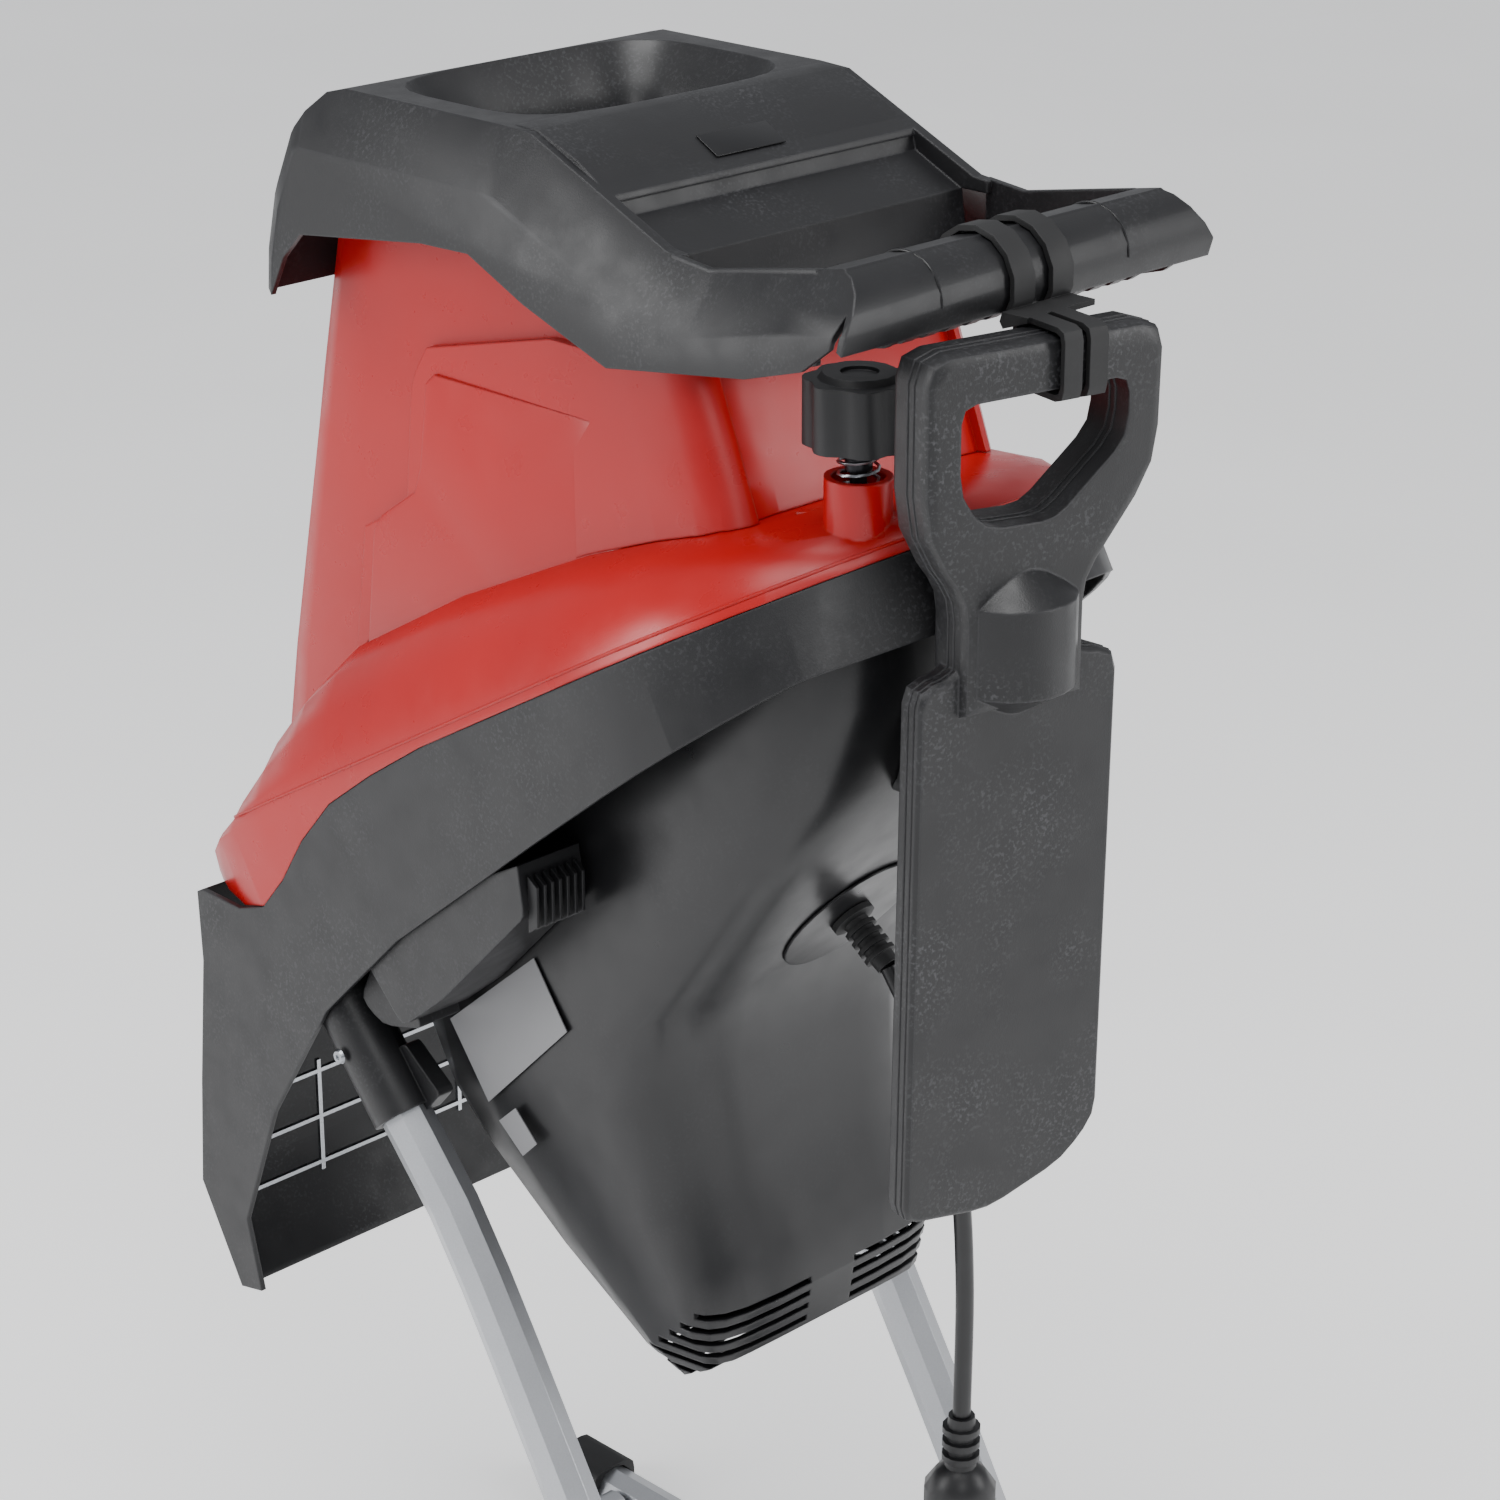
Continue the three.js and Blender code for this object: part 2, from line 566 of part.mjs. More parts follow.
function axle() {
  const end = WHEEL.x + WHEEL.half + 9;
  return rod(WHEEL.axleR, -end, end, { axis: 'x', sides: 16, at: [0, WHEEL.y, WHEEL.r] });
}

function hubCap() {
  const from = WHEEL.half + 4.4;
  return turned([[WHEEL.axleR + GAP, from], [14, from], [14, from + 3], [9, from + 7], [0, from + 7],
    [0, from + 5.4], [WHEEL.axleR + GAP, from + 5.4], [WHEEL.axleR + GAP, from]],
  { axis: 'x', sides: 16, at: [WHEEL.x, WHEEL.y, WHEEL.r] });
}

function axleBracket() {
  const cheek = rounded([[126, 98, 3], [150, 98, 6], [182, 88, 7], [182, 64, 7], [150, 54, 6], [138, 54, 3]]);
  const axleHole = rod(WHEEL.axleR + GAP, -200, 200, { axis: 'x', at: [0, WHEEL.y, WHEEL.r], sides: 16 });
  return cut(slab('side', cheek, LEG.x - 4, LEG.x + 4, { segments: 3 }), axleHole, legRoom());
}

// ---------------------------------------------------------------- lock screw

const atLock = { at: [LOCK.x, LOCK.y, 0] };

function lockKnob() {
  const lobes = new THREE.Shape();
  const count = 7;
  range(count * 6).forEach((i) => {
    const t = (2 * PI * i) / (count * 6);
    const r = LOCK.knobR - 3.4 * (0.5 - 0.5 * cos(count * t)) ** 1.6;
    if (i) lobes.lineTo(r * cos(t), r * sin(t));
    else lobes.moveTo(r, 0);
  });
  const body = slab('plan', lobes, LOCK.knobFrom, LOCK.knobTo - 3);
  const crown = turned([[0, LOCK.knobTo - 4], [20, LOCK.knobTo - 4], [17, LOCK.knobTo], [9, LOCK.knobTo],
    [9, LOCK.knobTo - 2], [0, LOCK.knobTo - 2]], { sides: 16 });
  const solid = moved(join(body, crown), LOCK.x, LOCK.y, 0);
  return cut(solid, rod(6.6 + GAP, 820, LOCK.knobTo - 7.6, { ...atLock, sides: 12 }));
}

function lockScrew() {
  return join(
    rod(6.6, LOCK.bossTop + 3, LOCK.knobTo - 8, { ...atLock, sides: 12 }),
    rod(4, 772, LOCK.bossTop + 4, { ...atLock, sides: 12 }),
  );
}

function lockSpring() {
  const [from, to, turns] = [LOCK.bossTop - 10, LOCK.knobFrom - 1.4, 4];
  const points = range(turns * 8 + 1).map((i) => {
    const t = (2 * PI * i) / 8;
    return vec(LOCK.x + 9.6 * cos(t), LOCK.y + 9.6 * sin(t), from + (i / (turns * 8)) * (to - from));
  });
  return sweep(new THREE.CatmullRomCurve3(points), 0.9, { sides: 4, steps: turns * 10 });
}

function lockNut() {
  return cut(rod(6.9, 744, 765, { ...atLock, sides: 6 }), rod(5.4, 740, 770, { ...atLock, sides: 16 }));
}

// ---------------------------------------------------------------- pusher and its clip

// The pusher's own outlines, hanging: x across, z up, its grip at the top.
const GRIP = [
  [-73, 889, 13], [57, 889, 13], [57, 806, 20], [33, 774, 10], [33, 720], [-33, 720], [-33, 774, 10],
  [-72, 822, 18],
];
const GRIP_HOLE = [
  [-53, 866, 8], [39, 866, 8], [39, 824, 11], [24, 808, 8], [-14, 806, 8], [-53, 838, 10],
];
const BLADE_PLATE = [
  [-57, 736, 11], [-38, 738, 4], [-29, 744, 4], [29, 744, 4], [38, 738, 4], [54, 736, 9], [57, 469, 8],
  [8, 463, 10], [-36, 477, 10], [-55, 496, 9],
];

function hung(solid) {
  return solid.translate([PUSHER.offset, 0, 0]).rotate([0, 0, THREE.MathUtils.radToDeg(PUSHER.turn)])
    .translate([0, PUSHER.y, 0]);
}

function pusher() {
  const grip = slab('front', rounded(GRIP), -14, 14, { bevel: 5, segments: 2, bevelSegments: 2 });
  const hole = slab('front', rounded(GRIP_HOLE), -20, 20, { segments: 2 });
  const blade = slab('front', rounded(BLADE_PLATE), -8, 8, { bevel: 2, segments: 2 });
  const neck = turned([[0, 710], [31, 729], [31, 771], [0, 797]], { sides: 20 });
  return hung(join(cut(grip, hole), blade, neck.intersect(block(-40, -12, 700, 40, 40, 800))));
}

// Part of a pipe wall across the object, from one angle to another.
function arcBand({ inner, outer, start, end, steps = 10 }, from, to) {
  const arc = (r, a, b) => range(steps + 1).map((i) => {
    const t = a + ((b - a) * i) / steps;
    return [BAR.y + r * cos(t), BAR.z + r * sin(t)];
  });
  return slab('side', [...arc(outer, start, end), ...arc(inner, end, start)], from, to);
}

// Twin bands snapped over the handle bar, a link, and twin hooks over the pusher's grip.
function pusherClip() {
  const width = 14;
  const y = PUSHER.y;
  const upper = [-20, 6].map((x) =>
    arcBand({ inner: BAR.r + 0.9, outer: BAR.r + 3.7, start: -0.62, end: PI + 0.5 }, x, x + width));
  const link = slab('side', [[224, 889], [225.5, 893.6], [y - 12, 893.6], [y - 12, 890.9], [226, 886]],
    -20, 26);
  const hooks = [-36, -22].map((x) => hung(cut(
    slab('side', box2(-19, 860, 19, 893.6, 6), x, x + 10, { segments: 2 }),
    slab('side', box2(-16.2, 863, 16.2, 890.8, 4), x - 1, x + 11, { segments: 2 }),
    block(x - 1, -24, 858, x + 11, -8, 876),
  )));
  return join(...upper, link, ...hooks);
}

function handleInsert() {
  const trough = arcBand({ inner: 15.4, outer: 18.2, start: -2.75, end: -0.39, steps: 6 }, -84, 84);
  const windows = range(12).map((i) => {
    const x = -77 + i * 14;
    return slab('front', [[x - 3.4, 884.6], [x + 3.4, 884.6], [x + 2.2, 890], [x - 2.2, 890]],
      BAR.y + 5, BAR.y + 24);
  });
  return cut(trough, ...windows);
}

// ---------------------------------------------------------------- cable, gland and plug

const GLAND = { u: 74, h: -136.5, lean: THREE.MathUtils.degToRad(36.5), reach: 34 };

// The gland's own frame: z comes out of the sloping rear face of the motor housing.
const glandFrame = new THREE.Matrix4()
  .makeRotationX(-PI / 2 - GLAND.lean)
  .setPosition(deckPoint(0, GLAND.u, GLAND.h));
const onGland = (solid) => solid.transform(glandFrame.toArray());

const glandPlate = () => onGland(cut(rod(40, 0.2, 1.4, { sides: 28 }), rod(8.6, -1, 5, { sides: 12 })));

function cordGland() {
  const ribs = range(4).flatMap((i) => [[6.6, 9], [8.8, 9.2], [8.8, 11.6], [6.6, 11.8]]
    .map(([r, z]) => [r, z + i * 5.4]));
  const profile = [[5.2, -6], [8.2, -6], [8.2, 1.8], [12, 1.8], [12, 5], [7, 6], ...ribs,
    [6.2, GLAND.reach], [5.2, GLAND.reach], [5.2, -6]];
  return onGland(turned(profile, { sides: 12 }));
}

// Route of the cable from the gland's mouth to the plug, chosen by hand.
const CORD_R = 4.75;
const CORD_POINTS = [
  [0, 139.9, 538.3], [-1, 153, 519], [-4, 164, 495], [-9, 174, 463], [-13, 179, 425], [-16, 181, 365],
  [-16, 181, 292],
];

function supplyCord() {
  const curve = new THREE.CatmullRomCurve3(CORD_POINTS.map((p) => vec(...p)), false, 'centripetal');
  return sweep(curve, CORD_R, { sides: 8, steps: 20 });
}

function plug() {
  const [x, y, z] = CORD_POINTS[CORD_POINTS.length - 1];
  const ribs = range(3).flatMap((i) => [[7.6, -6], [10, -6.4], [10, -10], [7.8, -10.4]]
    .map(([r, dz]) => [r, dz - i * 8]));
  const profile = [[0, -0.4], [7, -0.4], ...ribs, [8.4, -30], [13, -33], [19, -42], [19, -72], [17, -74],
    [0, -74]];
  const body = turned(profile, { at: [x, y, z], sides: 14 });
  const pins = [-9.5, 9.5].map((side) => rod(2.4, -93, -70, { at: [x + side, y, z], sides: 8 }));
  return join(body, ...pins);
}

// ---------------------------------------------------------------- flank pieces

const LABELS = {
  large: [[-74, 472], [-7, 529], [17, 496], [-45, 434]],
  small: [[-37, 426], [-24, 438], [-8, 423], [-19, 412]],
};
const labelPlate = (outline) => slab('side', outline, 104.4, 105);

function bagHook() {
  const x0 = 106;
  const x1 = BODY_HALF - WALL - GAP;
  const tray = slab('side', rounded([[-88, 512, 4], [-40, 566, 4], [30, 604], [34, 578, 4], [-30, 512, 6],
    [-62, 486, 6]]), x0, x1, { segments: 2 });
  const pockets = range(6).map((i) => {
    const y = -62 + i * 14;
    const z = 500 + i * 12;
    return slab('side', [[y, z], [y + 9, z + 7], [y + 9, z + 60], [y, z + 52]], x0 + 4, x1 - 4);
  });
  const finger = slab('side', rounded([[-94, 508, 4], [-82, 518, 2], [-62, 494, 3], [-56, 484, 4],
    [-88, 475, 8], [-105, 485, 6]]), x0 + 6, x1 - 8, { segments: 2 });
  return join(cut(tray, ...pockets), finger);
}

// ---------------------------------------------------------------- switch

const SWITCH = { face: 198, z: 682, half: 46 };
const BUTTONS = {
  switch_on: { x: -24, r: 11, material: GREEN },
  switch_off: { x: 6, r: 11, material: STOP_RED },
  reset_button: { x: 32, r: 5, material: BLACK_MATT },
};

function switchBox() {
  const outline = box2(-SWITCH.half, SWITCH.z - 25, SWITCH.half, SWITCH.z + 25, 7);
  const box = slab('front', outline, 166, SWITCH.face, { segments: 3 });
  const wells = Object.values(BUTTONS).map(({ x, r }) =>
    rod(r + 0.5, SWITCH.face - 10, SWITCH.face + 9, { axis: 'y', at: [x, 0, SWITCH.z], sides: 16 }));
  const rim = slab('front', box2(-SWITCH.half + 5, SWITCH.z - 20, SWITCH.half - 5, SWITCH.z + 20, 5),
    SWITCH.face - 2, SWITCH.face + 4, { segments: 3 });
  return cut(box, rim, ...wells, tubSolid(-GAP));
}

const switchButton = ({ x, r }) =>
  turned([[0, SWITCH.face - 3.3], [r, SWITCH.face - 3.3], [r, SWITCH.face + 2], [r - 1.5, SWITCH.face + 3.5],
    [0, SWITCH.face + 3.5]], { axis: 'y', at: [x, 0, SWITCH.z], sides: 16 });

// ---------------------------------------------------------------- drive, in the deck's own frame

const onSpindle = (options = {}) => ({ at: [0, DISC.u, 0], ...options });
const onMotor = (options = {}) => ({ at: [0, MOTOR.u, 0], ...options });
const BLADE = { length: 58, width: 30, thick: 5, reach: 30 };

function bladeAt(turn, solid) {
  return solid.rotate([0, 0, turn]).translate([0, DISC.u, 0]);
}

function knifeDisc() {
  const disc = rod(DISC.r, DISC.h, DISC.h + DISC.thick, onSpindle({ sides: 32 }));
  const slot = block(BLADE.reach, 9, -10, BLADE.reach + BLADE.length, 17, 10);
  const mouths = [0, 180].map((turn) => bladeAt(turn, slot));
  return cut(disc, ...mouths, rod(6.5, -20, 20, onSpindle({ sides: 16 })));
}

function knife(turn) {
  const { reach, length, width, thick } = BLADE;
  const section = [[-width + 8, 0.3], [8, 0.3], [8, 1.2], [1, thick], [-width + 8, thick]];
  const body = slab('side', section, reach, reach + length);
  const holes = [16, 42].map((x) => rod(3.2, -5, 12, { at: [reach + x, -11, 0], sides: 12 }));
  return bladeAt(turn, cut(body, ...holes));
}

// Two screws of one knife on their locking strip.
function knifeScrews(turn) {
  const one = join(rod(2.8, 0.3, 6.1, { sides: 8 }), rod(4.6, 6, 8.4, { sides: 6 }));
  const screw = (x) => moved(one, x, -11, 0);
  const strip = block(BLADE.reach + 8, -16, 5.3, BLADE.reach + 50, -6, 6.2);
  return bladeAt(turn, join(strip, screw(BLADE.reach + 16), screw(BLADE.reach + 42)));
}

function spindle() {
  return join(
    rod(22, -9, DISC.h - 0.4, onSpindle({ sides: 24 })),
    rod(8, -58, -8, onSpindle({ sides: 16 })),
    rod(6, -6, 5, onSpindle({ sides: 16 })),
    rod(11, 0.4, 6.4, onSpindle({ sides: 6 })),
  );
}

const spindleBearing = () => ring(8.4, 15, -31.5, -22.5, onSpindle({ sides: 24 }));

// Straight-cut gear outline; teeth are narrow enough to turn freely in each other.
function gearOutline(pitchR, teeth, phase = 0) {
  const shape = new THREE.Shape();
  const step = (2 * PI) / teeth;
  const corners = [[-0.3, -1.9], [-0.13, 1.8], [0.13, 1.8], [0.3, -1.9]];
  range(teeth).forEach((i) => corners.forEach(([part, rise], k) => {
    const t = (i + phase + part) * step;
    const r = pitchR + rise;
    if (i + k) shape.lineTo(r * cos(t), r * sin(t));
    else shape.moveTo(r * cos(t), r * sin(t));
  }));
  shape.closePath();
  return shape;
}

function spindleGear() {
  const teeth = slab('plan', gearOutline(GEARS.wheelR, 24), GEARS.h, GEARS.h + GEARS.thick);
  return moved(cut(teeth, rod(8.4, -80, 0, { sides: 16 })), 0, DISC.u, 0);
}

function motorShaft() {
  const pinion = slab('plan', gearOutline(GEARS.pinionR, 8, 0.5), GEARS.h - 1, GEARS.h + GEARS.thick + 1);
  return join(moved(pinion, 0, MOTOR.u, 0), rod(4, -268, GEARS.h, onMotor({ sides: 12 })));
}

function rotor() {
  const slots = range(8).map((i) =>
    block(17, -1.2, -230, 24, 1.2, -140).rotate([0, 0, 45 * i]).translate([0, MOTOR.u, 0]));
  const profile = [[4.4, MOTOR.top], [20.5, MOTOR.top], [20.5, -220], [7, -220], [7, -229], [11, -229],
    [11, -248], [4.4, -248], [4.4, MOTOR.top]];
  return cut(turned(profile, onMotor({ sides: 24 })), ...slots);
}

function stator() {
  return ring(22, MOTOR.r, -220, MOTOR.top, onMotor());
}

function coolingFan() {
  const hub = turned([[4.4, -136], [10, -136], [10, -128], [32, -128], [32, -126], [10, -126], [10, -124],
    [4.4, -124], [4.4, -136]], onMotor({ sides: 20 }));
  const vanes = range(6).map((i) =>
    block(9, -0.9, -136, 30, 0.9, -127).rotate([0, 0, 60 * i]).translate([0, MOTOR.u, 0]));
  return join(hub, ...vanes);
}

const motorBearing = (from) => ring(4.4, 11, from, from + 7.5, onMotor({ sides: 16 }));

function motorMount() {
  const [near, far] = [MOTOR.u + 46, MOTOR.u - 46];
  const seat = (from, to) => rod(11.4, from, to, onMotor({ sides: 16 }));
  const upper = cut(slab('plan', box2(-52, far, 52, near - 8), -66, -58.5), seat(-80, -50));
  const lower = cut(slab('plan', box2(-44, far + 22, 44, near - 12), -264, -256.5), seat(-280, -250));
  const strap = block(37, MOTOR.u - 12, -258, 43, MOTOR.u + 12, -60);
  const posts = [[-44, far + 8], [44, far + 8], [-44, near - 18], [44, near - 18]].map(([x, u]) =>
    rod(4, -60, -30.6, { at: [x, u, 0], sides: 8 }));
  return join(upper, lower, strap, mirrored(strap), ...posts);
}

function gearPlate() {
  const plate = slab('plan', box2(-80, -140, 80, -14), -30, -24);
  const deckPosts = [[-68, -130], [68, -130], [-68, -26], [68, -26]].map(([x, u]) =>
    rod(5, -26, DECK_TOP - WALL - GAP, { at: [x, u, 0], sides: 8 }));
  const spindleRoom = rod(15.4, -40, 0, onSpindle({ sides: 24 }));
  return cut(join(plate, ...deckPosts), spindleRoom, rod(13, -40, 0, onMotor()));
}

function safetySwitch() {
  return join(
    slab('plan', box2(-78, 196, -50, 212, 2), DECK_TOP + GAP, DECK_TOP + 15),
    rod(2.5, DECK_TOP + 14, DECK_TOP + 20, { at: [-64, 204, 0], sides: 10 }),
  );
}

// ---------------------------------------------------------------- assembly

piece('feed_hopper', feedHopper(), BLACK);
piece('handle_insert', handleInsert(), BLACK_MATT);
piece('feed_throat', feedThroat(), BLACK_MATT);
piece('feed_tower', feedTower(), RED);
piece('dome_cover', domeCover(), RED);
piece('hinge_pin', hingePin(), STEEL);
piece('lock_knob', lockKnob(), BLACK);
piece('lock_screw', lockScrew(), STEEL);
piece('lock_spring', lockSpring(), STEEL);
piece('lock_nut', lockNut(), BRASS);

piece('base_shell', baseShell(), BLACK);
piece('chute_guard', chuteGuard(), STEEL);
piece('motor_housing', motorHousing(), BLACK);
piece('label_large', labelPlate(LABELS.large), LABEL_GREY);
piece('label_small', labelPlate(LABELS.small), LABEL_GREY);
pair('bag_hook', bagHook(), BLACK_MATT);
piece('switch_box', switchBox(), BLACK_MATT);
Object.entries(BUTTONS).forEach(([name, button]) => piece(name, switchButton(button), button.material));

piece('gland_plate', glandPlate(), BLACK);
piece('cord_gland', cordGland(), RUBBER);
piece('supply_cord', supplyCord(), RUBBER);
piece('plug', plug(), RUBBER);

piece('pusher_clip', pusherClip(), RUBBER);
piece('pusher', pusher(), BLACK);

pair('tube_socket', tubeSocket(), BLACK);
pair('socket_screw', socketScrew(), STEEL);
pair('leg_tube', legTube(), TUBE_SILVER);
piece('front_foot_bar', frontFootBar(), TUBE_SILVER);
pair('foot_cap', footCap(), RUBBER);
pair('axle_bracket', axleBracket(), BLACK_MATT);
piece('axle', axle(), STEEL);
pair('wheel', wheel(), BLACK_MATT);
pair('hub_cap', hubCap(), BLACK);

const drive = new THREE.Group();
drive.position.copy(DECK_POINT);
drive.rotation.x = TILT;
root.add(drive);
piece('knife_disc', knifeDisc(), STEEL, drive);
piece('knife_a', knife(0), TOOL_STEEL, drive);
piece('knife_b', knife(180), TOOL_STEEL, drive);
piece('knife_screws_a', knifeScrews(0), STEEL, drive);
piece('knife_screws_b', knifeScrews(180), STEEL, drive);
piece('spindle', spindle(), STEEL, drive);
piece('spindle_bearing', spindleBearing(), STEEL, drive);
piece('spindle_gear', spindleGear(), STEEL, drive);
piece('motor_shaft', motorShaft(), STEEL, drive);
piece('rotor', rotor(), COPPER, drive);
piece('stator', stator(), TOOL_STEEL, drive);
piece('cooling_fan', coolingFan(), BLACK_MATT, drive);
piece('motor_bearing_upper', motorBearing(-66), STEEL, drive);
piece('motor_bearing_lower', motorBearing(-264), STEEL, drive);
piece('motor_mount', motorMount(), BLACK_MATT, drive);
piece('gear_plate', gearPlate(), BLACK_MATT, drive);
piece('safety_switch', safetySwitch(), BLACK_MATT, drive);

export default root;
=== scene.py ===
"""Garden shredder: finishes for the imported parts, the small moulded details, the lead and the stage."""

import json
import math

import bmesh
import bpy
from mathutils import Matrix, Vector

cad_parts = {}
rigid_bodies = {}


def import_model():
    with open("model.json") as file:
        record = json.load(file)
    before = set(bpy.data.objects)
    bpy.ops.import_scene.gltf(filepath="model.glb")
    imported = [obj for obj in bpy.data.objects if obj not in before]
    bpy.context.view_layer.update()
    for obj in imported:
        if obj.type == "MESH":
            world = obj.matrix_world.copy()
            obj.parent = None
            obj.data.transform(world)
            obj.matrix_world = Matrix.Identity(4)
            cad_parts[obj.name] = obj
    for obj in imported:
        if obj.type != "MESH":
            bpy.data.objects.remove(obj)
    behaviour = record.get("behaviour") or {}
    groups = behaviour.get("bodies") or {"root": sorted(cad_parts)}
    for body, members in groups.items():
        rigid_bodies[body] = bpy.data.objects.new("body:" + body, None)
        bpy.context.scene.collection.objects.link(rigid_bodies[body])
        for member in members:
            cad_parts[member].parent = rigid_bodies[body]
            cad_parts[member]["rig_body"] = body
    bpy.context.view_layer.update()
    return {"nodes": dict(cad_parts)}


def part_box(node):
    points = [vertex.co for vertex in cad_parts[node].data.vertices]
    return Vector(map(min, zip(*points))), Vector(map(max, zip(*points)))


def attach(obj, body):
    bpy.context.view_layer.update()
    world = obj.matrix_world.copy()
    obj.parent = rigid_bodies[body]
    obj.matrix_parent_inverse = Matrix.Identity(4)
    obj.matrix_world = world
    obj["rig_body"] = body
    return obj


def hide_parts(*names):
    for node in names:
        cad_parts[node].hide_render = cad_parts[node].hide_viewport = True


bl_info = {
    "name": "Garden shredder",
    "version": (1, 0, 0),
    "blender": (4, 5, 0),
    "location": "3D View > Sidebar > Shredder",
    "description": "Finishes the parts of a knife garden shredder and sets its stage",
    "category": "Object",
}

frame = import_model()
MM = 0.001

HANDLE = Vector((0, 0.1886, 0.902))        # middle of the handle bar, 22 mm in radius
BAR_RADIUS = 0.022
KNOB = Vector((0.058, 0.1566, 0.862))      # top of the star knob
FLANK_X = 0.0977                           # the feed tower's flat side

# Outline of the raised field on the tower's side, as (y, z), from the hopper down to the dome.
TOWER_FIELD = [(0.040, 0.8185), (-0.0905, 0.8185), (-0.0975, 0.812), (-0.1035, 0.768), (-0.1085, 0.754),
               (-0.1345, 0.736), (-0.1415, 0.726), (-0.152, 0.640), (0.046, 0.640)]
DECK_ORIGIN = Vector((0, -0.0334, 0.640))  # a point of the sloping deck plane

# The lead's middle line, from the bend protector down to the plug.
LEAD_ROUTE = [(0, 126.5, 538.3), (-1, 139.6, 519), (-4, 150.6, 495), (-9, 160.6, 463), (-13, 165.6, 425),
              (-16, 167.6, 365), (-16, 167.6, 292)]


# ---------------------------------------------------------------- small tools

def linear(code):
    """An sRGB hex colour as linear RGBA."""
    parts = [int(code[i:i + 2], 16) / 255 for i in (1, 3, 5)]
    return tuple(c / 12.92 if c <= 0.04045 else ((c + 0.055) / 1.055) ** 2.4 for c in parts) + (1.0,)


def add(tree, kind, settings=None, **inputs):
    """Adds one node; settings are its properties, inputs are values or sockets by input name or number."""
    made = tree.nodes.new(kind)
    for key, value in (settings or {}).items():
        setattr(made, key, value)
    for key, value in inputs.items():
        key = key.replace("_", " ")
        target = made.inputs[int(key[1:]) if key[0] == "i" and key[1:].isdigit() else key]
        if isinstance(value, bpy.types.NodeSocket):
            tree.links.new(value, target)
        else:
            target.default_value = value
    return made


def ramp(tree, factor, *stops):
    """A colour ramp through (position, colour) stops."""
    made = add(tree, "ShaderNodeValToRGB", Fac=factor)
    steps = made.color_ramp.elements
    while len(steps) < len(stops):
        steps.new(0.5)
    for step, (at, colour) in zip(steps, stops):
        step.position, step.color = at, colour
    return made.outputs["Color"]


def grey(value):
    return (value, value, value, 1.0)


def start_material(name):
    material = bpy.data.materials.new(name)
    material.use_nodes = True
    tree = material.node_tree
    shader = tree.nodes["Principled BSDF"]
    place = add(tree, "ShaderNodeTexCoord").outputs["Object"]
    return material, tree, shader, place


def noise(tree, place, size_mm, detail=3.0, stretch=None):
    """Noise whose features are about size_mm across; stretch scales the three axes."""
    if stretch:
        place = add(tree, "ShaderNodeMapping", Vector=place, Scale=stretch).outputs["Vector"]
    return add(tree, "ShaderNodeTexNoise", Vector=place, Scale=1000 / size_mm, Detail=detail).outputs["Fac"]


def moulded(name, colour, worn, roughness, grain_mm, grain_depth_mm, radius_mm=1.2, spread=0.07, streak=0.5):
    """Injection-moulded plastic: soft tone drift, tool grain, specks of scuffing in patches, rubbed edges.

    The grain is drawn coarser than the real 0.1 to 0.3 mm, so that it shows.
    """
    material, tree, shader, place = start_material(name)
    drift = noise(tree, place, 140, 2.0)
    cloud = noise(tree, place, 18, 4.0)
    specks = noise(tree, place, 1.8, 4.0)
    patches = noise(tree, place, 60, 3.0)
    dark = tuple(c * 0.86 for c in linear(colour)[:3]) + (1.0,)
    tone = ramp(tree, drift, (0.3, dark), (0.7, linear(colour)))
    specks = ramp(tree, specks, (0.52, grey(0.0)), (0.66, grey(streak)))
    patches = ramp(tree, patches, (0.42, grey(0.0)), (0.66, grey(1.0)))
    rubbed = add(tree, "ShaderNodeMath", {"operation": "MULTIPLY"}, i0=specks, i1=patches).outputs["Value"]
    rounded = add(tree, "ShaderNodeBevel", {"samples": 4}, Radius=radius_mm * MM).outputs["Normal"]
    true = add(tree, "ShaderNodeNewGeometry").outputs["True Normal"]
    along = add(tree, "ShaderNodeVectorMath", {"operation": "DOT_PRODUCT"}, i0=rounded, i1=true).outputs["Value"]
    edge = ramp(tree, along, (0.80, grey(0.3)), (0.97, grey(0.0)))
    marks = add(tree, "ShaderNodeMath", {"operation": "MAXIMUM"}, i0=rubbed, i1=edge).outputs["Value"]
    spots = ramp(tree, cloud, (0.35, grey(0.55)), (0.75, grey(1.0)))
    marks = add(tree, "ShaderNodeMath", {"operation": "MULTIPLY"}, i0=marks, i1=spots).outputs["Value"]
    tint = add(tree, "ShaderNodeMix", {"data_type": "RGBA"})
    tree.links.new(marks, tint.inputs[0])
    tree.links.new(tone, tint.inputs[6])
    tint.inputs[7].default_value = linear(worn)
    tree.links.new(tint.outputs[2], shader.inputs["Base Color"])
    gloss = add(tree, "ShaderNodeMapRange", Value=cloud, From_Min=0.25, From_Max=0.75,
                To_Min=roughness - spread, To_Max=roughness + spread).outputs["Result"]
    tree.links.new(gloss, shader.inputs["Roughness"])
    grain = add(tree, "ShaderNodeTexVoronoi", Vector=place, Scale=1000 / grain_mm).outputs["Distance"]
    bump = add(tree, "ShaderNodeBump", Height=grain, Normal=rounded, Strength=0.5,
               Distance=grain_depth_mm * MM).outputs["Normal"]
    wave = noise(tree, place, 55, 1.0)
    bump = add(tree, "ShaderNodeBump", Height=wave, Normal=bump, Strength=0.35, Distance=0.6 * MM).outputs["Normal"]
    tree.links.new(bump, shader.inputs["Normal"])
    shader.inputs["IOR"].default_value = 1.5
    return material


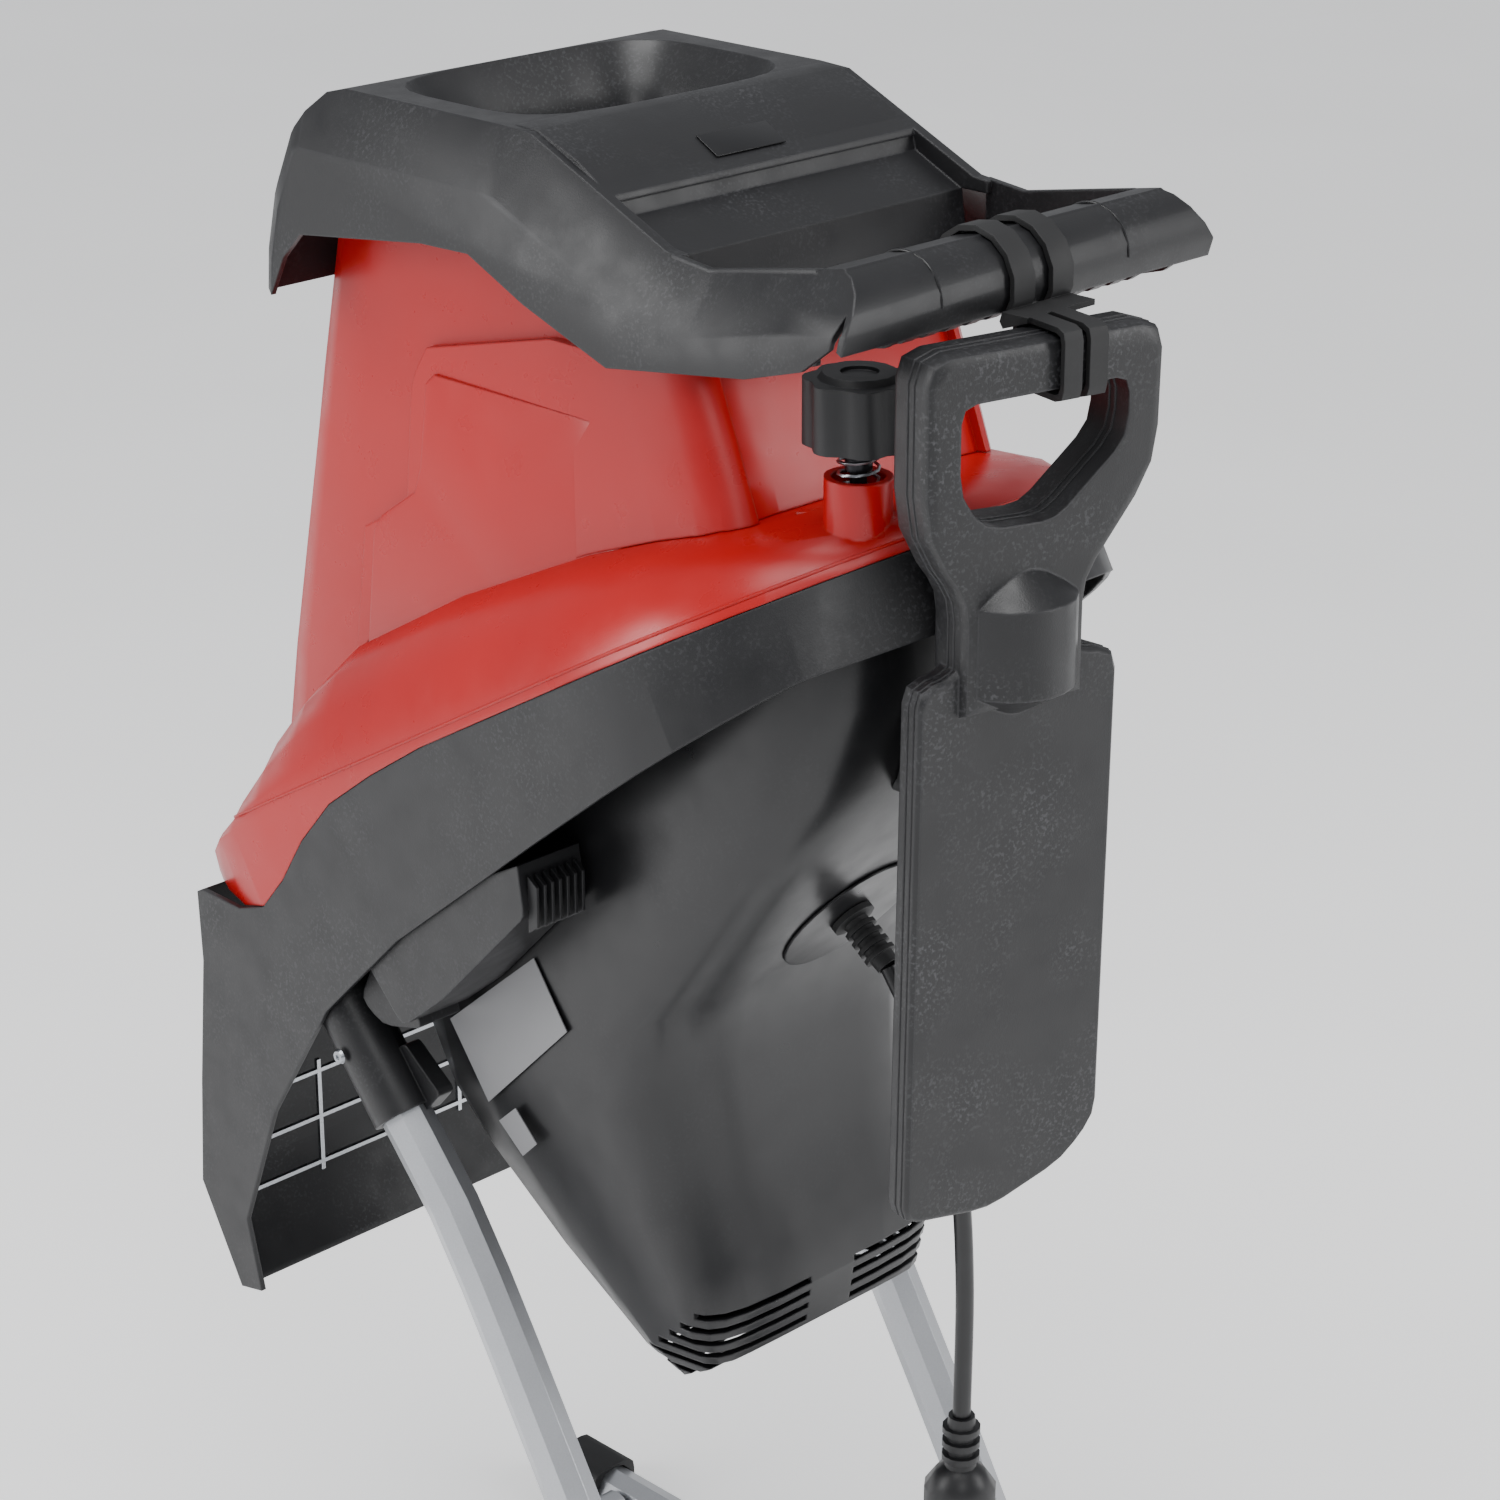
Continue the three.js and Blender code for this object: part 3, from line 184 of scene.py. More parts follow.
def metal(name, colour, roughness, fleck_mm, fleck=0.08, metallic=1.0, brush=None, worn="#6a6a6c"):
    """A metal or metal-filled coat: flecks or brush lines of fleck_mm, with cloudy roughness."""
    material, tree, shader, place = start_material(name)
    flecks = noise(tree, place, fleck_mm, 4.0, brush)
    smear = noise(tree, place, 45, 3.0)
    base = ramp(tree, flecks, (0.25, tuple(c * (1 - fleck * 2) for c in linear(colour)[:3]) + (1.0,)),
                (0.75, linear(colour)))
    tint = add(tree, "ShaderNodeMix", {"data_type": "RGBA"})
    tree.links.new(ramp(tree, smear, (0.58, grey(0.0)), (0.8, grey(0.3))), tint.inputs[0])
    tree.links.new(base, tint.inputs[6])
    tint.inputs[7].default_value = linear(worn)
    tree.links.new(tint.outputs[2], shader.inputs["Base Color"])
    gloss = add(tree, "ShaderNodeMapRange", Value=smear, From_Min=0.2, From_Max=0.8,
                To_Min=roughness - 0.06, To_Max=roughness + 0.08).outputs["Result"]
    tree.links.new(gloss, shader.inputs["Roughness"])
    rounded = add(tree, "ShaderNodeBevel", {"samples": 4}, Radius=0.5 * MM).outputs["Normal"]
    bump = add(tree, "ShaderNodeBump", Height=flecks, Normal=rounded, Strength=0.3, Distance=0.06 * MM).outputs["Normal"]
    tree.links.new(bump, shader.inputs["Normal"])
    shader.inputs["Metallic"].default_value = metallic
    return material


def materials():
    """Every finish on the machine, by the name the operators use."""
    colours = bpy.context.scene.shredder_colours
    made = {
        # ABS, moulded in a polished tool: a deep even red with soft reflections and hardly any grain.
        "red_abs": moulded("red_abs_moulded", colours.red, "#d8402c", 0.3, 1.6, 0.012, 1.6, 0.05, 0.02),
        # Polypropylene from a spark-eroded tool: satin near-black with a sandy grain that catches the light.
        "black_pp": moulded("black_polypropylene_grained", colours.black, "#606064", 0.42, 0.9, 0.05, 1.5, 0.07, 0.25),
        # The same polypropylene from a smoother tool, on the housing: broader, wetter reflections.
        "black_gloss": moulded("black_polypropylene_smooth", colours.black, "#4c4c50", 0.33, 1.1, 0.018, 1.6, 0.06, 0.12),
        # Glass-filled nylon: matt, dark, with a dry surface on the small load-bearing parts.
        "black_nylon": moulded("black_nylon_glass_filled", colours.fitting, "#55555a", 0.5, 0.7, 0.03, 0.7, 0.06, 0.12),
        # High-density polyethylene of the pusher: waxy black, scuffed by the feed opening.
        "pusher_pe": moulded("black_polyethylene_scuffed", colours.black, "#77777b", 0.42, 0.8, 0.08, 1.8, 0.08, 0.3),
        # Thermoplastic rubber: soft, matt and dust-catching.
        "rubber": moulded("thermoplastic_rubber", "#1b1b1c", "#3c3c3e", 0.62, 0.5, 0.03, 0.6, 0.05, 0.1),
        # Flexible PVC of the lead: a smooth, slightly greasy sheath.
        "pvc": moulded("flexible_pvc_sheath", "#18181a", "#38383a", 0.4, 0.6, 0.01, 0.5, 0.05, 0.08),
        # Printed polyester film, blank grey: flat and faintly satin.
        "film": moulded("printed_polyester_film", colours.label, "#a4a4a6", 0.38, 1.4, 0.006, 0.2, 0.04, 0.1),
        "patch": moulded("black_polyester_film", "#141416", "#2c2c2e", 0.3, 1.4, 0.006, 0.2, 0.04, 0.1),
        "green": moulded("green_abs_button", "#2f7a3a", "#66a070", 0.3, 0.8, 0.01, 0.6, 0.04, 0.1),
        "red_button": moulded("red_abs_button", "#a81414", "#d85a50", 0.3, 0.8, 0.01, 0.6, 0.04, 0.1),
        # Steel tube with a silver powder coat: pale, fine metallic speckle, soft broad highlights.
        "silver_coat": metal("steel_tube_silver_powder_coat", colours.tube, 0.36, 0.9, 0.05, 0.75, None, "#8c8c90"),
        # Blackened steel of the lock screw: almost black with a dull metal gleam.
        "blackened": metal("steel_blackened", "#3a3a3d", 0.38, 0.8, 0.1, 1.0, None, "#5a5a5e"),
        # Zinc-plated steel: cool grey, slightly cloudy.
        "zinc": metal("steel_zinc_plated", "#a9adb2", 0.3, 1.2, 0.08),
        # Blued tool steel, surface ground: fine parallel lines and a darker tone.
        "ground": metal("tool_steel_ground", "#8d9095", 0.26, 0.8, 0.12, 1.0, (1.0, 30.0, 1.0)),
        "brass": metal("brass_turned", "#b8923e", 0.28, 0.8, 0.08, 1.0, (1.0, 1.0, 30.0), "#8a6c30"),
        "copper": metal("copper_varnished", "#b06038", 0.35, 1.0, 0.12, 1.0, (1.0, 1.0, 20.0), "#7c3c20"),
        # Bright steel wire, chrome-free, drawn and welded.
        "wire": metal("steel_wire_drawn", "#c9ccd0", 0.25, 0.8, 0.06),
    }
    return made


FINISH = {}


def finish_of(name):
    if not FINISH:
        FINISH.update(materials())
    return FINISH[name]


def plain_object(name, mesh, material, body):
    """Links a finished mesh, gives it its one material and sets it on its body."""
    made = bpy.data.objects.new(name, mesh)
    bpy.context.scene.collection.objects.link(made)
    mesh.materials.clear()
    mesh.materials.append(finish_of(material))
    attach(made, body)
    return made


def body_of(node):
    return frame["nodes"][node]["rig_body"]


def dressed(node, material, crease=38.0):
    """A welded, smooth-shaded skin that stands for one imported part."""
    mesh = frame["nodes"][node].data.copy()
    mesh.name = node + "_skin"
    for layer in ("custom_normal", "sharp_face", "sharp_edge"):
        if layer in mesh.attributes:
            mesh.attributes.remove(mesh.attributes[layer])
    grown = bmesh.new()
    grown.from_mesh(mesh)
    bmesh.ops.remove_doubles(grown, verts=grown.verts, dist=4e-6)
    bmesh.ops.dissolve_degenerate(grown, edges=grown.edges, dist=2e-6)
    for face in grown.faces:
        face.smooth = True
    for edge in grown.edges:
        edge.smooth = len(edge.link_faces) == 2 and edge.calc_face_angle(4.0) < math.radians(crease)
    grown.to_mesh(mesh)
    grown.free()
    made = plain_object(node + "_skin", mesh, material, body_of(node))
    weights = made.modifiers.new("face_weights", "WEIGHTED_NORMAL")
    weights.keep_sharp = True
    weights.weight = 70
    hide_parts(node)
    return made


def dress_all(finishes):
    for material, names in finishes.items():
        for node in names.split():
            dressed(node, material)


def mesh_from(name, build):
    """A mesh from a function that fills a bmesh; normals are turned outward."""
    grown = bmesh.new()
    build(grown)
    bmesh.ops.remove_doubles(grown, verts=grown.verts, dist=1e-6)
    bmesh.ops.recalc_face_normals(grown, faces=grown.faces)
    for face in grown.faces:
        face.smooth = True
    for edge in grown.edges:
        edge.smooth = len(edge.link_faces) == 2 and edge.calc_face_angle(4.0) < math.radians(35)
    mesh = bpy.data.meshes.new(name)
    grown.to_mesh(mesh)
    grown.free()
    return mesh


def bevelled(grown, width, segments=2, angle=40):
    sharp = [e for e in grown.edges if len(e.link_faces) == 2 and e.calc_face_angle(0) > math.radians(angle)]
    bmesh.ops.bevel(grown, geom=sharp, offset=width, segments=segments, affect="EDGES", profile=0.5,
                    clamp_overlap=True)


def plate(grown, outline, normal, thickness, round_by=0.0):
    """A flat plate from an outline of points, thickened along normal, with rounded edges."""
    face = grown.faces.new([grown.verts.new(p) for p in outline])
    face.normal_update()
    raised = bmesh.ops.extrude_face_region(grown, geom=[face])
    bmesh.ops.translate(grown, vec=Vector(normal) * thickness,
                        verts=[v for v in raised["geom"] if isinstance(v, bmesh.types.BMVert)])
    bmesh.ops.recalc_face_normals(grown, faces=grown.faces)
    if round_by:
        bevelled(grown, round_by, 3)


def tube(grown, path, radius, sides=8, closed=False, flat=(0, 0, 1)):
    """A round bead along a path of points, capped where it ends; flat is the normal of the path's plane."""
    rows = []
    count = len(path)
    for i, point in enumerate(path):
        point = Vector(point)
        after = Vector(path[(i + 1) % count] if closed or i + 1 < count else path[i])
        before = Vector(path[i - 1] if closed or i else path[i])
        along = (after - before).normalized()
        side = along.cross(Vector(flat)).normalized()
        up = side.cross(along)
        rows.append([grown.verts.new(point + (side * math.cos(t) + up * math.sin(t)) * radius)
                     for t in (2 * math.pi * k / sides for k in range(sides))])
    pairs = list(zip(rows, rows[1:] + rows[:1])) if closed else list(zip(rows, rows[1:]))
    for a, b in pairs:
        for k in range(sides):
            grown.faces.new((a[k], a[(k + 1) % sides], b[(k + 1) % sides], b[k]))
    if not closed:
        grown.faces.new(rows[0])
        grown.faces.new(rows[-1])


def section(node, point, normal, keep=None):
    """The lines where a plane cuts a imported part, as (points, closed); keep says which points stay."""
    grown = bmesh.new()
    grown.from_mesh(frame["nodes"][node].data)
    bmesh.ops.remove_doubles(grown, verts=grown.verts, dist=4e-6)
    cut = bmesh.ops.bisect_plane(grown, geom=grown.verts[:] + grown.edges[:] + grown.faces[:], plane_co=point,
                                 plane_no=normal, dist=1e-6)["geom_cut"]
    edges = {e for e in cut if isinstance(e, bmesh.types.BMEdge)
             and (keep is None or all(keep(v.co) for v in e.verts))}
    lines = []
    while edges:
        edge = edges.pop()
        line = list(edge.verts)
        for _ in range(2):
            line.reverse()
            while True:
                onward = next((e for e in line[-1].link_edges if e in edges), None)
                if onward is None:
                    break
                edges.discard(onward)
                line.append(onward.other_vert(line[-1]))
        closed = line[0] == line[-1]
        points = []
        for vert in line[:-1] if closed else line:
            if not points or (vert.co - points[-1]).length > 0.0012:
                points.append(vert.co.copy())
        if len(points) > 3:
            lines.append((points, closed))
    grown.free()
    return lines


def bead(name, lines, radius, material, body, slot, flat=(0, 0, 1)):
    """A fine round bead along each line, all one piece."""
    def lay(grown):
        for points, closed in lines:
            tube(grown, points, radius, 8, closed, flat)
    return plain_object(name, mesh_from(name, lay), material, body)


def smooth_path(points, steps=6):
    """Points on a Catmull-Rom curve through the given points."""
    found = []
    ends = [2 * Vector(points[0]) - Vector(points[1])] + [Vector(p) for p in points] \
        + [2 * Vector(points[-1]) - Vector(points[-2])]
    for i in range(1, len(ends) - 2):
        a, b, c, d = ends[i - 1:i + 3]
        for k in range(steps):
            t = k / steps
            found.append(0.5 * ((2 * b) + (c - a) * t + (2 * a - 5 * b + 4 * c - d) * t * t
                                + (3 * b - a - 3 * c + d) * t ** 3))
    return found + [ends[-2]]


# ---------------------------------------------------------------- repeated details, as geometry nodes

def tree_with(name, *inputs):
    """A geometry tree with named inputs (name, kind, default); returns it and its input node."""
    tree = bpy.data.node_groups.new(name, "GeometryNodeTree")
    for label, kind, default in inputs:
        socket = tree.interface.new_socket(name=label, in_out="INPUT", socket_type=kind)
        if default is not None:
            socket.default_value = default
    tree.interface.new_socket(name="Geometry", in_out="OUTPUT", socket_type="NodeSocketGeometry")
    return tree, tree.nodes.new("NodeGroupInput")


def end_tree(tree, geometry, given):
    """Realises the copies, sets the material and closes the tree."""
    real = add(tree, "GeometryNodeRealizeInstances", Geometry=geometry)
    painted = add(tree, "GeometryNodeSetMaterial", Geometry=real.outputs[0], Material=given.outputs["Material"])
    out = tree.nodes.new("NodeGroupOutput")
    tree.links.new(painted.outputs[0], out.inputs["Geometry"])


def grown_by(tree, name, material, body, mesh=None, turn=None, **values):
    """Runs a tree on a mesh and keeps the result as one plain mesh on its body; turn places it."""
    holder = bpy.data.objects.new(name + "_points", mesh or bpy.data.meshes.new(name + "_points"))
    bpy.context.scene.collection.objects.link(holder)
    nodes = holder.modifiers.new("grow", "NODES")
    nodes.node_group = tree
    keys = {s.name: s.identifier for s in tree.interface.items_tree if s.in_out == "INPUT"}
    for label, value in {**{k.replace("_", " "): v for k, v in values.items()},
                         "Material": finish_of(material)}.items():
        nodes[keys[label]] = value
    shape = bpy.data.meshes.new_from_object(holder.evaluated_get(bpy.context.evaluated_depsgraph_get()))
    bpy.data.objects.remove(holder)
    shape.name = name
    if turn is not None:
        shape.transform(turn)
    made = bpy.data.objects.new(name, shape)
    bpy.context.scene.collection.objects.link(made)
    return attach(made, body)


def rib_row_tree():
    """A straight row of tapered ribs, side by side along X, standing up along Z and long along Y."""
    tree, given = tree_with("rib_row", ("Count", "NodeSocketInt", 8), ("Pitch", "NodeSocketFloat", 0.006),
                            ("Rib Length", "NodeSocketFloat", 0.03), ("Rib Width", "NodeSocketFloat", 0.003),
                            ("Rib Height", "NodeSocketFloat", 0.002), ("Material", "NodeSocketMaterial", None))
    step = add(tree, "ShaderNodeCombineXYZ", X=given.outputs["Pitch"])
    line = add(tree, "GeometryNodeMeshLine", {"mode": "OFFSET"}, Count=given.outputs["Count"],
               Offset=step.outputs[0])
    rib = add(tree, "GeometryNodeMeshCone", Vertices=4, Radius_Top=0.5, Radius_Bottom=0.7071, Depth=1.0)
    square = add(tree, "GeometryNodeTransform", Geometry=rib.outputs["Mesh"], Rotation=(0, 0, math.pi / 4))
    size = add(tree, "ShaderNodeCombineXYZ", X=given.outputs["Rib Width"], Y=given.outputs["Rib Length"],
               Z=given.outputs["Rib Height"])
    copies = add(tree, "GeometryNodeInstanceOnPoints", Points=line.outputs[0], Instance=square.outputs[0],
                 Scale=size.outputs[0])
    end_tree(tree, copies.outputs[0], given)
    return tree


def rib_ring_tree():
    """Ribs set round a circle in the XY plane, each one long along the radius."""
    tree, given = tree_with("rib_ring", ("Count", "NodeSocketInt", 12), ("Radius", "NodeSocketFloat", 0.05),
                            ("Rib Length", "NodeSocketFloat", 0.02), ("Rib Width", "NodeSocketFloat", 0.004),
                            ("Rib Height", "NodeSocketFloat", 0.002), ("Material", "NodeSocketMaterial", None))
    circle = add(tree, "GeometryNodeMeshCircle", Vertices=given.outputs["Count"], Radius=given.outputs["Radius"])
    where = add(tree, "GeometryNodeInputPosition")
    facing = add(tree, "FunctionNodeAlignRotationToVector", {"axis": "X"}, Vector=where.outputs[0])
    rib = add(tree, "GeometryNodeMeshCone", Vertices=4, Radius_Top=0.5, Radius_Bottom=0.7071, Depth=1.0)
    square = add(tree, "GeometryNodeTransform", Geometry=rib.outputs["Mesh"], Rotation=(0, 0, math.pi / 4))
    size = add(tree, "ShaderNodeCombineXYZ", X=given.outputs["Rib Length"], Y=given.outputs["Rib Width"],
               Z=given.outputs["Rib Height"])
    copies = add(tree, "GeometryNodeInstanceOnPoints", Points=circle.outputs[0], Instance=square.outputs[0],
                 Rotation=facing.outputs[0], Scale=size.outputs[0])
    end_tree(tree, copies.outputs[0], given)
    return tree


def screw_tree():
    """Domed screw heads with a six-point recess on every point of the input, facing its 'facing' vector."""
    tree, given = tree_with("screw_heads", ("Points", "NodeSocketGeometry", None),
                            ("Head Radius", "NodeSocketFloat", 0.004), ("Head Height", "NodeSocketFloat", 0.0016),
                            ("Material", "NodeSocketMaterial", None))
    head = add(tree, "GeometryNodeMeshCone", Vertices=24, Radius_Top=0.78, Radius_Bottom=1.0, Depth=1.0)
    hole = add(tree, "GeometryNodeMeshCone", Vertices=6, Radius_Top=0.42, Radius_Bottom=0.36, Depth=0.8)
    lifted = add(tree, "GeometryNodeTransform", Geometry=hole.outputs["Mesh"], Translation=(0, 0, 0.5))
    cut = add(tree, "GeometryNodeMeshBoolean", {"operation": "DIFFERENCE"})
    tree.links.new(head.outputs["Mesh"], cut.inputs["Mesh 1"])
    tree.links.new(lifted.outputs[0], cut.inputs["Mesh 2"])
    facing = add(tree, "GeometryNodeInputNamedAttribute", {"data_type": "FLOAT_VECTOR"}, Name="facing")
    turned = add(tree, "FunctionNodeAlignRotationToVector", {"axis": "Z"}, Vector=facing.outputs["Attribute"])
    size = add(tree, "ShaderNodeCombineXYZ", X=given.outputs["Head Radius"], Y=given.outputs["Head Radius"],
               Z=given.outputs["Head Height"])
    copies = add(tree, "GeometryNodeInstanceOnPoints", Points=given.outputs["Points"], Instance=cut.outputs[0],
                 Rotation=turned.outputs[0], Scale=size.outputs[0])
    end_tree(tree, copies.outputs[0], given)
    return tree


def facing_points(name, rows):
    """A mesh of loose points with the direction each one faces; rows are (point, direction)."""
    mesh = bpy.data.meshes.new(name)
    mesh.from_pydata([p for p, _ in rows], [], [])
    layer = mesh.attributes.new("facing", "FLOAT_VECTOR", "POINT")
    for i, (_, way) in enumerate(rows):
        layer.data[i].vector = way
    return mesh


# ---------------------------------------------------------------- what a user would change

class ShredderColours(bpy.types.PropertyGroup):
    red: bpy.props.StringProperty(name="Red", description="Dome and feed tower", default="#b50c0e")
    black: bpy.props.StringProperty(name="Black", description="Hopper, body, housing and pusher", default="#19191b")
    fitting: bpy.props.StringProperty(name="Fittings", description="Small nylon parts", default="#1a1a1c")
    tube: bpy.props.StringProperty(name="Tube", description="Coated leg tubes", default="#c2c4c8")
    label: bpy.props.StringProperty(name="Label", description="Blank rating label", default="#8c8c8e")


class ShredderSizes(bpy.types.PropertyGroup):
    lead_radius: bpy.props.FloatProperty(name="Lead radius", description="Radius of the supply lead",
                                         default=0.00475, unit="LENGTH", precision=5)
    bead: bpy.props.FloatProperty(name="Lip bead", description="Radius of the bead along the hopper's throat",
                                  default=0.0032, unit="LENGTH", precision=4)
    field: bpy.props.FloatProperty(name="Field height", description="How far the tower's side field stands out",
                                   default=0.0028, unit="LENGTH", precision=4)
    lens: bpy.props.FloatProperty(name="Lens", description="Focal length in millimetres", default=88.8)


class Step(bpy.types.Operator):
    bl_options = {"REGISTER", "UNDO"}


class SHREDDER_OT_hopper(Step):
    """Hopper, handle bar, throat and the seams on the bar"""
    bl_idname = "shredder.hopper"
    bl_label = "Hopper and handle"

    def execute(self, context):
        dress_all({"black_pp": "feed_hopper feed_throat", "black_nylon": "handle_insert"})

        def seams(grown):
            for x in (0.0635, -0.0625):
                arc = [HANDLE + Vector((x, math.cos(t) * (BAR_RADIUS - 0.0004), math.sin(t) * (BAR_RADIUS - 0.0004)))
                       for t in (math.radians(a) for a in range(0, 181, 9))]
                tube(grown, arc, 0.0007, 8, flat=(1, 0, 0))
        plain_object("handle_seams", mesh_from("handle_seams", seams), "patch", "lid")

        def patch(grown):
            low, high = (0.0190, 0.9415), (0.0332, 0.9338)
            plate(grown, [(x, y, z) for x, (y, z) in ((0.026, low), (-0.020, low), (-0.020, high), (0.026, high))],
                  (0, 0.47, 0.88), 0.0006, 0.0002)
        plain_object("hopper_patch", mesh_from("hopper_patch", patch), "patch", "lid")
        return {"FINISHED"}


class SHREDDER_OT_tower(Step):
    """Feed tower with its raised side fields, and the red dome"""
    bl_idname = "shredder.tower"
    bl_label = "Tower and dome"

    def execute(self, context):
        dress_all({"red_abs": "feed_tower dome_cover"})
        height = context.scene.shredder_sizes.field

        def fields(grown):
            for side in (1, -1):
                before = set(grown.verts)
                plate(grown, [(side * (FLANK_X - 0.0005), y, z) for y, z in TOWER_FIELD], (side, 0, 0), height, 0.0015)
                for vert in set(grown.verts) - before:  # the field runs out to nothing towards the rear
                    fade = max(0.02, (0.046 - vert.co.y) / 0.198)
                    vert.co.x = side * (FLANK_X - 0.0005 + (abs(vert.co.x) - FLANK_X + 0.0005) * fade)
        plain_object("tower_fields", mesh_from("tower_fields", fields), "red_abs", "lid")

        deck_up = Vector((0, -0.5, 0.8660254))
        lip = DECK_ORIGIN + deck_up * 0.0205
        outside = [line for line in section("dome_cover", lip, deck_up, lambda p: p.y > -0.235)
                   if max(abs(p.x) for p in line[0]) > 0.143]
        bead("dome_lip", outside, 0.0009, "red_abs", "lid", "red_shell", deck_up)

        def marks(grown):
            for reach in (0.030, 0.034):
                tube(grown, [Vector((KNOB.x + math.cos(t) * reach, KNOB.y + math.sin(t) * reach, 0.7872))
                             for t in (math.radians(a) for a in range(-158, -96, 6))], 0.0008)
            plate(grown, [(KNOB.x + x, KNOB.y + y, 0.7862) for x, y in ((-0.006, -0.040), (0.004, -0.036), (-0.003, -0.030))],
                  (0, 0, 1), 0.0016, 0.0003)
        plain_object("lock_marks", mesh_from("lock_marks", marks), "red_abs", "lid")
        return {"FINISHED"}


class SHREDDER_OT_body(Step):
    """Black body, hood, guard, hooks and labels"""
    bl_idname = "shredder.body"
    bl_label = "Body and hood"

    def execute(self, context):
        dress_all({"black_pp": "base_shell bag_hook_left bag_hook_right", "wire": "chute_guard hinge_pin",
                   "brass": "lock_nut", "film": "label_large label_small"})
        low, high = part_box("bag_hook_right")
        grille = Matrix.Translation(((low.x + high.x) / 2 - 0.015, high.y - 0.0006, 0.583)) \
            @ Matrix.Rotation(math.radians(-90), 4, "X")
        for side, name in ((1, "grille_right"), (-1, "grille_left")):
            made = grown_by(rib_row_tree(), name, "black_nylon", "base", turn=Matrix.Diagonal((side, 1, 1, 1)) @ grille,
                            Count=7, Pitch=0.005, Rib_Length=0.030, Rib_Width=0.0024, Rib_Height=0.006)
            if side < 0:
                made.data.flip_normals()
        return {"FINISHED"}


class SHREDDER_OT_motor_housing(Step):
    """Motor housing with its gland plate and the switch box"""
    bl_idname = "shredder.motor_housing"
    bl_label = "Motor housing"

    def execute(self, context):
        dress_all({"black_gloss": "motor_housing gland_plate", "black_nylon": "switch_box reset_button",
                   "green": "switch_on", "red_button": "switch_off", "rubber": "cord_gland"})
        return {"FINISHED"}


class SHREDDER_OT_stand(Step):
    """Tube stand: sockets, tubes, caps, brackets, axle and screws"""
    bl_idname = "shredder.stand"
    bl_label = "Stand"

    def execute(self, context):
        dress_all({"black_pp": "tube_socket_left tube_socket_right hub_cap_left hub_cap_right",
                   "silver_coat": "leg_tube_left leg_tube_right front_foot_bar", "zinc": "axle",
                   "rubber": "foot_cap_left foot_cap_right", "black_nylon": "axle_bracket_left axle_bracket_right"})
        rows = []
        for node in ("socket_screw_left", "socket_screw_right"):
            low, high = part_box(node)
            side = 1 if low.x > 0 else -1
            rows.append(((high.x - 0.0008 if side > 0 else low.x + 0.0008, (low.y + high.y) / 2, (low.z + high.z) / 2),
                         (side, 0, 0)))
        screws = grown_by(screw_tree(), "socket_screws", "zinc", "base", mesh=facing_points("screw_places", rows),
                          Head_Radius=0.0042, Head_Height=0.0018)
        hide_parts("socket_screw_left", "socket_screw_right")
        return {"FINISHED"}


class SHREDDER_OT_wheels(Step):
    """The two wheels with ribs on their outer faces"""
    bl_idname = "shredder.wheels"
    bl_label = "Wheels"

    def execute(self, context):
        dress_all({"black_nylon": "wheel_left wheel_right"})
        for side, body in ((1, "wheel_r"), (-1, "wheel_l")):
            low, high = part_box("wheel_right" if side > 0 else "wheel_left")
            face = high.x - 0.0035 if side > 0 else low.x + 0.0035
            turn = Matrix.Translation((face, (low.y + high.y) / 2, (low.z + high.z) / 2)) \
                @ Matrix.Rotation(math.radians(90 * side), 4, "Y")
            grown_by(rib_ring_tree(), body + "_ribs", "black_nylon", body, turn=turn, Count=18, Radius=0.042,
                     Rib_Length=0.034, Rib_Width=0.003, Rib_Height=0.003)
        return {"FINISHED"}


class SHREDDER_OT_lock(Step):
    """Star knob, screw and spring of the lid lock"""
    bl_idname = "shredder.lock"
    bl_label = "Lid lock"

    def execute(self, context):
        dress_all({"black_nylon": "lock_knob", "blackened": "lock_screw", "zinc": "lock_spring"})
        return {"FINISHED"}


class SHREDDER_OT_pusher(Step):
    """Pusher and the clip it hangs from"""
    bl_idname = "shredder.pusher"
    bl_label = "Pusher"

    def execute(self, context):
        dress_all({"pusher_pe": "pusher", "rubber": "pusher_clip"})
        low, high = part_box("pusher")
        face = Vector((0.2079, 0.9781, 0.0))
        middle = (low + high) / 2
        lines = []
        for shift in (-0.0022, 0.0022):
            lines += section("pusher", middle + face * shift, face)
        bead("pusher_parting", lines, 0.0006, "pusher_pe", "pusher_set", "black_shell", face)
        return {"FINISHED"}


class SHREDDER_OT_lead(Step):
    """Supply lead on its one curve, and its plug"""
    bl_idname = "shredder.lead"
    bl_label = "Supply lead"

    def execute(self, context):
        dress_all({"pvc": "plug"})
        path = smooth_path([Vector(p) * MM for p in LEAD_ROUTE], 5)
        curve = bpy.data.curves.new("supply_lead", "CURVE")
        curve.dimensions = "3D"
        line = curve.splines.new("POLY")
        line.points.add(len(path) - 1)
        for point, place in zip(line.points, path):
            point.co = (*place, 1.0)
        line.use_smooth = True
        curve.bevel_depth = context.scene.shredder_sizes.lead_radius
        curve.bevel_resolution = 4
        curve.use_fill_caps = True
        curve.materials.append(finish_of("pvc"))
        lead = bpy.data.objects.new("supply_lead", curve)
        context.scene.collection.objects.link(lead)
        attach(lead, "base")
        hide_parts("supply_cord")
        return {"FINISHED"}


class SHREDDER_OT_cutting_set(Step):
    """Knife disc, gears, bearings and motor inside the machine"""
    bl_idname = "shredder.cutting_set"
    bl_label = "Cutting set"

    def execute(self, context):
        dress_all({"ground": "knife_disc knife_a knife_b stator",
                   "zinc": "knife_screws_a knife_screws_b spindle spindle_bearing spindle_gear motor_shaft "
                           "motor_bearing_upper motor_bearing_lower",
                   "copper": "rotor", "black_nylon": "cooling_fan motor_mount gear_plate safety_switch"})
        return {"FINISHED"}


